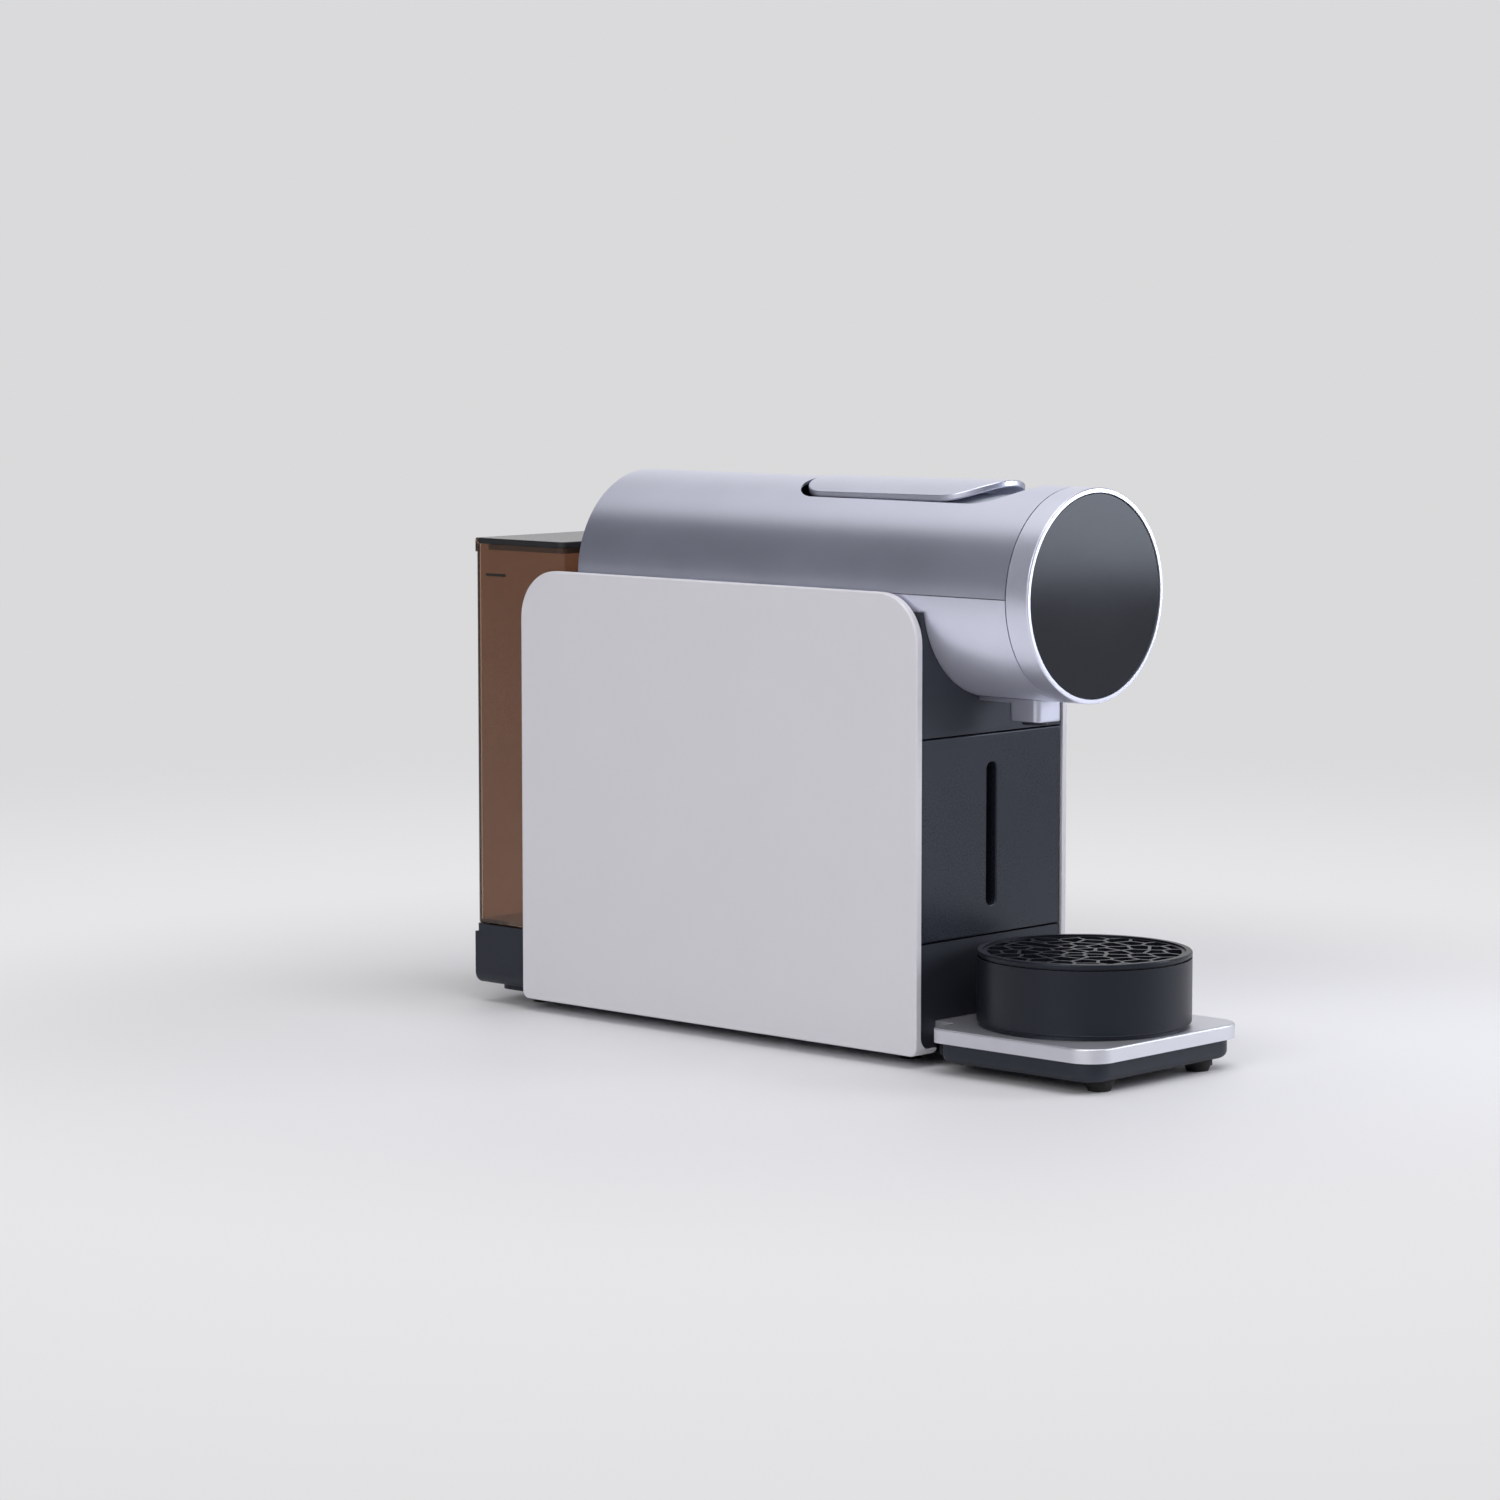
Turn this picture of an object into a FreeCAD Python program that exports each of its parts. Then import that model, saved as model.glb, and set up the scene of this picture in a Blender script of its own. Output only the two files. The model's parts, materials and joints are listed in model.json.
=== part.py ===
import FreeCAD, Part
import math
import os

V = FreeCAD.Vector

# Fits shared by all the pieces
MOVING_GAP = 0.3
FIXED_GAP = 0.2
PIN_GAP = 0.05
SEAM = 0.6

# Whole machine, front of the cup plate to the back of the tank
RIM_SETBACK = 46.2
DIAL_LENGTH = 12.6
BARREL_LENGTH = 275.0
BARREL_END_GAP = 6.8
WALL = 3.0
TANK_GAP = 1.0
TANK_DEPTH = 63.1
BODY_DEPTH = BARREL_LENGTH + BARREL_END_GAP + WALL + TANK_GAP
DEPTH = RIM_SETBACK + DIAL_LENGTH + BODY_DEPTH + TANK_DEPTH
FRONT_Y = -DEPTH / 2
BACK_Y = DEPTH / 2
FOOT_HEIGHT = 5.5

# Barrel
BARREL_RADIUS = 50.0
BARREL_WALL = 3.0
BARREL_AXIS_Z = 221.6
END_CAP_INSET = 1.5
RIM_Y = FRONT_Y + RIM_SETBACK
SEAM_Y = RIM_Y + DIAL_LENGTH
BARREL_FRONT_Y = SEAM_Y + SEAM
BARREL_BACK_Y = SEAM_Y + BARREL_LENGTH
BARREL_BORE = BARREL_RADIUS - BARREL_WALL
INNER_RADIUS = BARREL_BORE - MOVING_GAP
BARREL_BOTTOM_Z = BARREL_AXIS_Z - BARREL_RADIUS

# Side panels
PANEL_THICKNESS = 3.6
PANEL_GAP = 1.5
PANEL_INNER_X = BARREL_RADIUS + PANEL_GAP
PANEL_OUTER_X = PANEL_INNER_X + PANEL_THICKNESS
PANEL_SETBACK = 61.3
TANK_SHOWS = 38.2
PANEL_CORNER = 24.0
PANEL_FOOT_CORNER = 4.0
PANEL_EDGE = 1.0
PANEL_LIP = 11.5
PANEL_LIP_THICKNESS = 3.0
PANEL_COVE = 6.0
PANEL_FRONT_Y = RIM_Y + PANEL_SETBACK
PANEL_BACK_Y = BACK_Y - TANK_SHOWS
PANEL_BOTTOM_Z = FOOT_HEIGHT + SEAM
PANEL_TOP_Z = BARREL_AXIS_Z + SEAM

# Dark body between the panels
BODY_SETBACK = 0.9
BODY_FRONT_Y = PANEL_FRONT_Y + BODY_SETBACK
BODY_HALF_WIDTH = PANEL_INNER_X - SEAM
TUB_GAP = 0.4
TUB_HALF_WIDTH = PANEL_INNER_X - TUB_GAP
TUB_WALL = 2.5
TUB_BOTTOM_Z = PANEL_BOTTOM_Z + PANEL_LIP_THICKNESS + MOVING_GAP
TUB_FLOOR_Z = TUB_BOTTOM_Z + WALL
TUB_TOP_Z = 36.0
TUB_BEND = PANEL_COVE - TUB_WALL
PAN_GAP = 2.0
PAN_CORNER = 8.0
PAN_HALF_WIDTH = PANEL_INNER_X - PANEL_LIP - PAN_GAP
FRAME_INNER_X = TUB_HALF_WIDTH - TUB_WALL
FRAME_DROP = 8.0
FRAME_TOP_Z = BARREL_AXIS_Z - FRAME_DROP
FRAME_HOLES = 4
FRAME_HOLE_PITCH = 43.0
FRAME_HOLE_RADIUS = 9.0
FRAME_HOLE_RISE = 22.0
REAR_WALL_CORNER = 10.0

# Water tank and its dock
TANK_HALF_WIDTH = 50.4
TANK_WALL = 2.2
TANK_CORNER = 4.0
LID_TOP_Z = 236.4
LID_THICKNESS = 2.9
DOCK_THICKNESS = 4.0
TANK_FRONT_Y = BACK_Y - TANK_DEPTH
TANK_MID_Y = BACK_Y - TANK_DEPTH / 2
DOCK_TOP_Z = TUB_TOP_Z + DOCK_THICKNESS
TANK_BOTTOM_Z = DOCK_TOP_Z + MOVING_GAP
TANK_TOP_Z = LID_TOP_Z - LID_THICKNESS - FIXED_GAP
REAR_WALL_BACK_Y = TANK_FRONT_Y - TANK_GAP
REAR_WALL_FRONT_Y = REAR_WALL_BACK_Y - WALL

# Tank valve
SPIGOT_RADIUS = 8.0
SPIGOT_BORE = 3.0
SPIGOT_HEIGHT = 5.5
SPIGOT_GAP = 2.0
VALVE_SOCKET_HEIGHT = 9.0
VALVE_SOCKET_RADIUS = SPIGOT_RADIUS + SPIGOT_GAP
VALVE_SOCKET_TOP_Z = TANK_BOTTOM_Z + VALVE_SOCKET_HEIGHT
VALVE_SEAT_Z = VALVE_SOCKET_TOP_Z + WALL
VALVE_HOLE_RADIUS = 4.0
VALVE_STEM_RADIUS = 2.2
VALVE_HEAD_RADIUS = 6.0
VALVE_HEAD_HEIGHT = 2.5
VALVE_CAGE_RADIUS = 10.0
VALVE_CAGE_HEIGHT = 16.0
VALVE_CAGE_WALL = 1.5
VALVE_CAGE_ROOF = 2.0
VALVE_WINDOW_HALF = 4.0
VALVE_WINDOW_SILL = 3.0
SPRING_RADIUS = 4.2
SPRING_WIRE = 0.5
SPRING_TURNS = 4

# Lid hinge
LID_PIN_RADIUS = 0.8
LID_PIN_INSET = 1.5
LID_EAR_WIDTH = 3.6
LID_EAR_INSET = 1.0
LID_EAR_DROP = 4.0
LID_EAR_CORNER = 1.4
LID_EDGE = 0.6
PLUG_DEPTH = 3.0
PLUG_WALL = 1.2
PLUG_BACK_GAP = 9.0

# Cup plate, stand and feet
PLATE_TOP_Z = 21.8
PLATE_THICKNESS = 6.8
PLATE_HALF_WIDTH = 56.9
PLATE_LENGTH = 98.0
PLATE_CORNER = 14.0
PLATE_BACK_CORNER = 6.0
PLATE_EDGE = 0.9
PLATE_BOTTOM_Z = PLATE_TOP_Z - PLATE_THICKNESS
PLATE_BACK_Y = FRONT_Y + PLATE_LENGTH
TONGUE_HALF_WIDTH = 40.0
TONGUE_REACH = 14.0
PLATE_JOIN = 12.0
TONGUE_BOSS_X = 24.0
TONGUE_BOSS_INSET = 5.0
STAND_INSET = 3.0
STAND_EDGE = 3.5
FOOT_RADIUS = 7.0
FOOT_TAPER = 1.75
FOOT_STEP = 0.7
FOOT_X = 36.4
FOOT_INSET = 13.2
BODY_FOOT_X = 28.0
BODY_FOOT_INSET = 26.0
SCREW_RADIUS = 2.8
SCREW_HEIGHT = 1.2

# Drip tray and cup grid
TRAY_RADIUS = 50.1
TRAY_WALL = 2.5
TRAY_SETBACK = 5.5
TRAY_CENTRE_Y = RIM_Y + TRAY_SETBACK
PAD_HEIGHT = 1.6
PAD_INSET = 1.2
TRAY_BOTTOM_Z = PLATE_TOP_Z + PAD_HEIGHT
TRAY_HEIGHT = 33.6
GRID_THICKNESS = 3.0
GRID_RIM = 5.0
GRID_WEB = 1.6
GRID_HOLES = 64
GRID_SKIRT = 3.0
GRID_DISH = 0.8
GRID_LIP = 3.0
GRID_GROOVE = 1.0
FINGER_SLOT_LENGTH = 24.0
FINGER_SLOT_WIDTH = 8.0
FINGER_SLOT_SETBACK = 16.5
GRID_TOP_Z = TRAY_BOTTOM_Z + TRAY_HEIGHT
TRAY_TOP_Z = GRID_TOP_Z - GRID_THICKNESS

# Used-pod container
BIN_FRONT_THICKNESS = 4.0
BIN_HALF_WIDTH = 45.0
BIN_LENGTH = 100.0
BIN_WALL = 2.0
BIN_SEAM_Z = 154.7
BIN_TOP_CLEARANCE = 4.0
SLOT_WIDTH = 7.0
SLOT_HEIGHT = 67.8
SLOT_EDGE = 0.8
BIN_CORNER = 6.0
SHELF_RISE = 1.2
SHELF_OVERHANG = 8.0
SHELF_TOP_Z = GRID_TOP_Z + SHELF_RISE
BIN_BOTTOM_Z = SHELF_TOP_Z + FIXED_GAP
BIN_FRONT_BOTTOM_Z = SHELF_TOP_Z + SEAM
BIN_FRONT_TOP_Z = BIN_SEAM_Z - SEAM
BIN_BACK_Y = BODY_FRONT_Y + BIN_FRONT_THICKNESS + BIN_LENGTH

# Spout under the barrel
SPOUT_SETBACK = 36.2
SPOUT_Y = RIM_Y + SPOUT_SETBACK
SPOUT_WIDTH = 18.4
SPOUT_CORNER = 3.0
SPOUT_BOTTOM_Z = 161.5
NOZZLE_RADIUS = 6.0
NOZZLE_BORE = 3.0
NOZZLE_DROP = 1.5
LIP_THICKNESS = 1.4

# Lever and its recess
LEVER_HALF_WIDTH = 25.0
LEVER_THICKNESS = 3.0
LEVER_GAP = 2.6
LEVER_REAR_GAP = 2.8
LEVER_SETBACK = 50.6
LEVER_LENGTH = 114.0
LEVER_TIP_Y = RIM_Y + LEVER_SETBACK
LEVER_BACK_Y = LEVER_TIP_Y + LEVER_LENGTH
LEVER_BACK_CORNER = 15.0
LEVER_TIP_FLAT = 1.0
LEVER_TIP_CORNER = LEVER_HALF_WIDTH - LEVER_TIP_FLAT / 2
LEVER_TIP_RISE = 1.8
LEVER_REAR_RISE = 0.8
LEVER_EDGE = 0.6
FINGER_ROOM = 21.0
RECESS_FRONT_Y = LEVER_TIP_Y - FINGER_ROOM
RECESS_FRONT_CORNER = LEVER_HALF_WIDTH
RECESS_BACK_Y = LEVER_BACK_Y + LEVER_REAR_GAP
RECESS_LIP = 1.2
RECESS_UNDERCUT = 4.0

# Lever drive: sector gear, idler and rack
LEVER_SWING = math.radians(95.0)
GEAR_MODULE = 1.5
GEAR_ANGLE = math.radians(25.0)
GEAR_BACKLASH = 0.3
GEAR_HALF_WIDTH = 4.0
SECTOR_TEETH = 24
IDLER_TEETH = 12
SECTOR_RADIUS = GEAR_MODULE * SECTOR_TEETH / 2
IDLER_RADIUS = GEAR_MODULE * IDLER_TEETH / 2
TOOTH_ABOVE = 0.8 * GEAR_MODULE
TOOTH_BELOW = 1.1 * GEAR_MODULE
TOOTH_PITCH = math.pi * GEAR_MODULE
SECTOR_SPARE = math.radians(14.0)
PIVOT_INSET = 14.6
PIVOT_DEPTH = 13.6
PIVOT_Y = LEVER_BACK_Y - PIVOT_INSET
PIVOT_Z = BARREL_AXIS_Z + BARREL_RADIUS - PIVOT_DEPTH
IDLER_Z = PIVOT_Z - SECTOR_RADIUS - IDLER_RADIUS
RACK_Z = IDLER_Z - IDLER_RADIUS
CARRIAGE_TRAVEL = SECTOR_RADIUS * LEVER_SWING
SHAFT_RADIUS = 3.0
SHAFT_HUB = 5.5
IDLER_PIN_RADIUS = 2.5
LEG_INNER_X = 15.0
LEG_THICKNESS = 3.0
LEG_HALF_DEPTH = 4.5
ARM_INNER_X = 8.0
ARM_THICKNESS = 4.0
ARM_FRONT = 10.0
ARM_BACK = 2.0
GRIP_MARGIN = 6.0

# Brew group
POD_DROP = 21.6
HEAD_SETBACK = 71.0
POD_AXIS_Z = BARREL_AXIS_Z - POD_DROP
HEAD_FACE_Y = RIM_Y + HEAD_SETBACK
HEAD_THICKNESS = 8.0
CAGE_RADIUS = 21.0
CAGE_BORE = 16.3
CAGE_LENGTH = 32.0
CAGE_FLOOR = 3.5
CARRIAGE_THICKNESS = 10.0
CARRIAGE_HALF_WIDTH = 35.0
CARRIAGE_CORNER = 5.0
SLIDE_MARGIN = 8.0
RACK_SEAT_MARGIN = 3.0
FEED_STOP = 2.0
NEEDLES = 3
NEEDLE_CIRCLE = 8.0
NEEDLE_RADIUS = 1.6
NEEDLE_TIP = 0.2
NEEDLE_LENGTH = 6.0
JOIN = 0.5
EXIT_PLATE_THICKNESS = 1.0
EXIT_PLATE_INSET = 1.5
EXIT_ROWS = 5
EXIT_PITCH = 4.5
EXIT_POINT_RADIUS = 1.5
EXIT_POINT_TIP = 0.4
EXIT_POINT_HEIGHT = 1.2
ROD_RADIUS = 3.0
ROD_X = 28.0
ROD_DROP = 8.0
FEED_DROP = 4.0
FEED_Z = POD_AXIS_Z - FEED_DROP
FEED_RADIUS = 3.4
FEED_BORE = 1.8
BOSS_RADIUS = 7.0
CAGE_FRONT_Y = HEAD_FACE_Y + MOVING_GAP
CARRIAGE_FRONT_Y = CAGE_FRONT_Y + CAGE_LENGTH
CARRIAGE_BACK_Y = CARRIAGE_FRONT_Y + CARRIAGE_THICKNESS
RACK_DEPTH = 10.0
BEAM_GAP = 1.0
BEAM_DROP = 2.0
FEED_SPARE = 3.0
FEED_GRIP = 15.0
REAR_PLATE_SPARE = 24.0
RACK_SEAT_Z = RACK_Z - RACK_DEPTH
ROD_Z = RACK_SEAT_Z - ROD_DROP
BEAM_BOTTOM_Z = FEED_Z + BOSS_RADIUS + BEAM_GAP
BEAM_TOP_Z = RACK_SEAT_Z - BEAM_DROP
FEED_FRONT_Y = CARRIAGE_FRONT_Y + CARRIAGE_TRAVEL + FEED_SPARE
BOSS_BACK_Y = FEED_FRONT_Y + FEED_GRIP
REAR_PLATE_Y = PIVOT_Y + CARRIAGE_TRAVEL + REAR_PLATE_SPARE
REAR_PLATE_THICKNESS = 4.0
REAR_PLATE_HOLE = 14.0
REAR_PLATE_HOLE_RISE = 20.0
FEED_TAIL = 12.0
FEED_BACK_Y = REAR_PLATE_Y + REAR_PLATE_THICKNESS + FEED_TAIL
DUCT_WALL = 3.0
DUCT_DROP = 12.0
DUCT_RISE = 4.0
DUCT_BOTTOM_Z = FEED_Z - DUCT_DROP
FLOW_DROP = 4.0
FLOW_Z = FEED_Z - FLOW_DROP
FLOW_RADIUS = 2.4
CHUTE_WALL = 2.0
CHUTE_GAP = 1.5
POD_SLOT_HALF_WIDTH = 19.5
POD_SLOT_CORNER = 6.0
POD_SLOT_LAND = 1.0
WELL_DEPTH = 2.0
WELL_SEAT = 3.0
WELL_RADIUS = BARREL_BORE - WELL_DEPTH
WELL_WALL = 2.0
WELL_END_GAP = 15.0
WELL_BACK_Y = PIVOT_Y - WELL_END_GAP

# Dial and display
DIAL_WALL = 2.2
DIAL_EDGE = 0.8
HUB_RADIUS = 38.0
HUB_WALL = 4.0
WEB_THICKNESS = 3.0
LENS_THICKNESS = 2.0
LENS_SETBACK = 0.5
LENS_GAP = 0.4
LENS_EDGE = 0.4
PRESS_TRAVEL = 1.2
BULKHEAD_THICKNESS = 4.0
BULKHEAD_INSET = 1.0
BULKHEAD_Y = BARREL_FRONT_Y + BULKHEAD_INSET
WEB_BACK_Y = SEAM_Y
WEB_FRONT_Y = WEB_BACK_Y - WEB_THICKNESS
RETAINER_THICKNESS = 1.6
RETAINER_WIDTH = 4.0
RETAINER_FRONT_Y = WEB_FRONT_Y - MOVING_GAP - RETAINER_THICKNESS
HUB_FRONT_Y = RETAINER_FRONT_Y
LENS_FRONT_Y = RIM_Y + LENS_SETBACK
LENS_BACK_Y = LENS_FRONT_Y + LENS_THICKNESS
CARRIER_PLATE = 1.5
CARRIER_INSET = 1.0
CARRIER_WALL = 2.0
DISPLAY_BOARD_GAP = 3.0
DISPLAY_POST = 1.0
DISPLAY_POST_RADIUS = 6.0
CHIP_WIDTH = 10.0
CHIP_HEIGHT = 1.5
CHIP_DROP = 15.0

# Water and power units behind the container
HEATER_HALF_WIDTH = 22.0
HEATER_DEPTH = 40.0
HEATER_HEIGHT = 70.0
HEATER_CORNER = 5.0
HEATER_GAP = 14.0
HEATER_RISE = 34.0
HEATER_RIBS = 5
HEATER_GROOVE = 2.3
HEATER_OUT_RISE = 54.6
HEATER_FRONT_Y = BIN_BACK_Y + HEATER_GAP
HEATER_BACK_Y = HEATER_FRONT_Y + HEATER_DEPTH
HEATER_MID_Y = HEATER_FRONT_Y + HEATER_DEPTH / 2
HEATER_BOTTOM_Z = TUB_TOP_Z + HEATER_RISE
POST_RADIUS = 4.5
POST_INSET = 5.5
PORT_RADIUS = FEED_RADIUS
PORT_LENGTH = 6.0
HOSE_RADIUS = 4.6
HOSE_BEND = 12.0
HOSE_RUN = 6.0
HOSE_CLEARANCE = 1.0
HOSE_HOLE_SPARE = 2.0
WATER_LINE_RISE = 14.0
WATER_LINE_Z = TUB_FLOOR_Z + WATER_LINE_RISE
PUMP_RADIUS = 12.0
PUMP_FRONT_GAP = 8.0
PUMP_BACK_GAP = 6.0
PUMP_FRONT_Y = HEATER_BACK_Y + PUMP_FRONT_GAP
PUMP_BACK_Y = REAR_WALL_FRONT_Y - PUMP_BACK_GAP
COIL_HALF_WIDTH = 15.0
COIL_SHARE = 0.45
COIL_FLAT = 2.0
COIL_CORNER = 3.0
MOUNT_INSET = 2.0
MOUNT_RISE = 2.0
MOUNT_THICKNESS = 6.0
MOUNT_HALF_WIDTH = 14.0
METER_RADIUS = 8.5
METER_GAP = 7.0
METER_LENGTH = 12.0
METER_FOOT_HALF = 5.1
METER_FRONT_Y = REAR_WALL_BACK_Y + METER_GAP
METER_BACK_Y = METER_FRONT_Y + METER_LENGTH
BOARD_THICKNESS = 1.6
BOARD_GAP = 7.0
BOARD_SETBACK = 2.0
BOARD_END_GAP = 16.2
BOARD_DROP = 6.0
BOARD_FRONT_Y = HEATER_FRONT_Y + BOARD_SETBACK
BOARD_BACK_Y = REAR_WALL_FRONT_Y - BOARD_END_GAP
BOARD_LENGTH = BOARD_BACK_Y - BOARD_FRONT_Y
BOARD_BOTTOM_Z = HEATER_BOTTOM_Z - BOARD_DROP
BOARD_POST_INSET = 6.0
BOARD_POST_RADIUS = 3.0
RELAYS = 3
RELAY_INSET = 14.0
RELAY_LENGTH = 14.0
RELAY_DEPTH = 8.0
RELAY_LOW = 12.0
RELAY_HEIGHT = 18.0
CAN_DEPTH = 10.0
CAN_RADIUS = 6.0
CAN_DROP = 22.0
BOARD_HEIGHT = 92.0

# Mains inlet in the back of the tub
INLET_HALF_WIDTH = 13.5
INLET_HEIGHT = 19.0
INLET_FLANGE = 2.5
INLET_DEPTH = 18.0
INLET_X = 28.0
INLET_WALL = 2.0
INLET_PIN_RADIUS = 1.2
INLET_PIN_PITCH = 6.0
INLET_CORNER = 2.0


def at(axis, u, v, w):
    """A point from two coordinates across an axis and one along it."""
    if axis == "x":
        return V(w, u, v)
    if axis == "y":
        return V(u, w, v)
    return V(u, v, w)


def rect(u0, u1, v0, v1):
    """Corners of a rectangle, in order."""
    return [(u0, v0), (u1, v0), (u1, v1), (u0, v1)]


def rounded_edges(corners, radii, place):
    """Lines and arcs of a closed outline with a radius at each corner."""
    stops = []
    count = len(corners)
    for i in range(count):
        here = V(*corners[i], 0)
        before = V(*corners[i - 1], 0) - here
        after = V(*corners[(i + 1) % count], 0) - here
        if radii[i] == 0:
            stops.append((here,))
            continue
        half = before.getAngle(after) / 2
        before.normalize()
        after.normalize()
        inward = before + after
        inward.normalize()
        run = radii[i] / math.tan(half)
        middle = here + inward * (radii[i] / math.sin(half) - radii[i])
        stops.append((here + before * run, middle, here + after * run))
    edges = []
    for i in range(count):
        stop = [place(p.x, p.y) for p in stops[i]]
        leave = place(stops[i - 1][-1].x, stops[i - 1][-1].y)
        if leave.distanceToPoint(stop[0]) > 1e-6:
            edges.append(Part.LineSegment(leave, stop[0]).toShape())
        if len(stop) == 3:
            edges.append(Part.Arc(*stop).toShape())
    return edges


def prism(axis, lo, hi, corners, radii=0):
    """An outline with rounded corners, drawn along an axis."""
    if not isinstance(radii, (list, tuple)):
        radii = [radii] * len(corners)
    edges = rounded_edges(corners, radii, lambda u, v: at(axis, u, v, lo))
    return Part.Face(Part.Wire(edges)).extrude(at(axis, 0, 0, hi - lo))


def block(x0, x1, y0, y1, z0, z1):
    """A box between two corners."""
    return Part.makeBox(x1 - x0, y1 - y0, z1 - z0, V(x0, y0, z0))


def rod(axis, lo, hi, u, v, radius):
    """A cylinder along an axis."""
    return Part.makeCylinder(radius, hi - lo, at(axis, u, v, lo), at(axis, 0, 0, 1))


def tube(axis, lo, hi, u, v, outer, inner):
    """A hollow cylinder along an axis."""
    return rod(axis, lo, hi, u, v, outer).cut(rod(axis, lo - 1, hi + 1, u, v, inner))


def barrel_rod(lo, hi, radius):
    """A cylinder on the barrel's axis."""
    return rod("y", lo, hi, 0, BARREL_AXIS_Z, radius)


def barrel_clear():
    """The room that the barrel takes from the pieces below it."""
    return barrel_rod(SEAM_Y, BARREL_BACK_Y + 1, BARREL_RADIUS + FIXED_GAP)


def mirrored(shape):
    """The same shape on the other side of the middle plane."""
    return shape.mirror(V(0, 0, 0), V(1, 0, 0))


def both(shape):
    """A shape and its mirror image, joined."""
    return shape.fuse(mirrored(shape))


def softened(shape, radius, wanted):
    """Rounds the edges that the test picks."""
    return shape.makeFillet(radius, [e for e in shape.Edges if wanted(e)])


def lies_at(edge, axis, value):
    """True for an edge that lies in one plane across an axis."""
    box = edge.BoundBox
    low, high = {
        "x": (box.XMin, box.XMax),
        "y": (box.YMin, box.YMax),
        "z": (box.ZMin, box.ZMax),
    }[axis]
    return abs(low - value) < 1e-4 and abs(high - value) < 1e-4


def save(name, shape):
    """Writes one piece, without leftover splitter lines."""
    shape.removeSplitter().exportStep("parts/" + name + ".step")


# Stand, cup plate and feet


def foot(x, y):
    top = rod("z", FOOT_HEIGHT / 2, FOOT_HEIGHT, x, y, FOOT_RADIUS)
    sole = Part.makeCone(FOOT_RADIUS - FOOT_TAPER, FOOT_RADIUS - FOOT_STEP, FOOT_HEIGHT / 2, V(x, y, 0))
    return top.fuse(sole).removeSplitter()


def foot_places():
    rows = [
        (FOOT_X, FRONT_Y + FOOT_INSET),
        (BODY_FOOT_X, BODY_FRONT_Y + BODY_FOOT_INSET),
        (BODY_FOOT_X, BACK_Y - BODY_FOOT_INSET),
    ]
    return [(side * x, y) for x, y in rows for side in (-1, 1)]


def rubber_feet():
    return Part.makeCompound([foot(x, y) for x, y in foot_places()])


def base_screws():
    places = [(x / 2, y) for x, y in foot_places()]
    low = FOOT_HEIGHT - SCREW_HEIGHT
    return Part.makeCompound([rod("z", low, FOOT_HEIGHT, x, y, SCREW_RADIUS) for x, y in places])


def stand_base():
    half = PLATE_HALF_WIDTH - STAND_INSET
    front, back = FRONT_Y + STAND_INSET, PLATE_BACK_Y - STAND_INSET
    radii = [PLATE_CORNER - STAND_INSET / 2] * 2 + [PLATE_BACK_CORNER] * 2
    base = prism("z", FOOT_HEIGHT, PLATE_BOTTOM_Z, rect(-half, half, front, back), radii)
    base = softened(base, STAND_EDGE, lambda e: lies_at(e, "z", FOOT_HEIGHT))
    neck_half = TONGUE_HALF_WIDTH - STAND_INSET
    neck = block(-neck_half, neck_half, back - PLATE_JOIN, BODY_FRONT_Y, FOOT_HEIGHT, PLATE_BOTTOM_Z)
    return base.fuse(neck)


def cup_plate():
    radii = [PLATE_CORNER] * 2 + [PLATE_BACK_CORNER] * 2
    outline = rect(-PLATE_HALF_WIDTH, PLATE_HALF_WIDTH, FRONT_Y, PLATE_BACK_Y)
    plate = prism("z", PLATE_BOTTOM_Z, PLATE_TOP_Z, outline, radii)
    plate = softened(plate, PLATE_EDGE, lambda e: lies_at(e, "z", PLATE_TOP_Z))
    tongue_back = BODY_FRONT_Y + TONGUE_REACH
    half = TONGUE_HALF_WIDTH
    tongue = block(-half, half, PLATE_BACK_Y - PLATE_JOIN, tongue_back, PLATE_BOTTOM_Z, PLATE_TOP_Z)
    return plate.fuse(tongue)


def tray_pad():
    radius = TRAY_RADIUS - PAD_INSET
    return rod("z", PLATE_TOP_Z, TRAY_BOTTOM_Z, 0, TRAY_CENTRE_Y, radius)


# Drip tray and cup grid


def drip_tray():
    bowl = rod("z", TRAY_BOTTOM_Z, TRAY_TOP_Z, 0, TRAY_CENTRE_Y, TRAY_RADIUS)
    bowl = softened(bowl, TRAY_WALL / 2, lambda e: lies_at(e, "z", TRAY_BOTTOM_Z))
    floor = TRAY_BOTTOM_Z + TRAY_WALL
    room = rod("z", floor, TRAY_TOP_Z + 1, 0, TRAY_CENTRE_Y, TRAY_RADIUS - TRAY_WALL)
    room = softened(room, TRAY_WALL, lambda e: lies_at(e, "z", floor))
    return bowl.cut(room)


def clipped(polygon, px, py, nx, ny):
    """The part of a polygon behind a line through a point, across a normal."""
    kept = []
    for i in range(len(polygon)):
        (ax, ay), (bx, by) = polygon[i - 1], polygon[i]
        da = (ax - px) * nx + (ay - py) * ny
        db = (bx - px) * nx + (by - py) * ny
        if da * db < 0:
            t = da / (da - db)
            kept.append((ax + (bx - ax) * t, ay + (by - ay) * t))
        if db <= 0:
            kept.append((bx, by))
    return kept


def grid_seeds(radius):
    """A sunflower spread of points, each pushed a little off its place."""
    turn = math.pi * (3 - math.sqrt(5))
    spacing = radius * math.sqrt(math.pi / GRID_HOLES)
    seeds = []
    for i in range(GRID_HOLES):
        reach = radius * math.sqrt((i + 0.5) / GRID_HOLES)
        push = 0.24 * spacing
        x = reach * math.cos(i * turn) + push * math.sin(i * 2.3)
        y = reach * math.sin(i * turn) + push * math.cos(i * 3.7)
        seeds.append((x, y))
    return seeds


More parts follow.
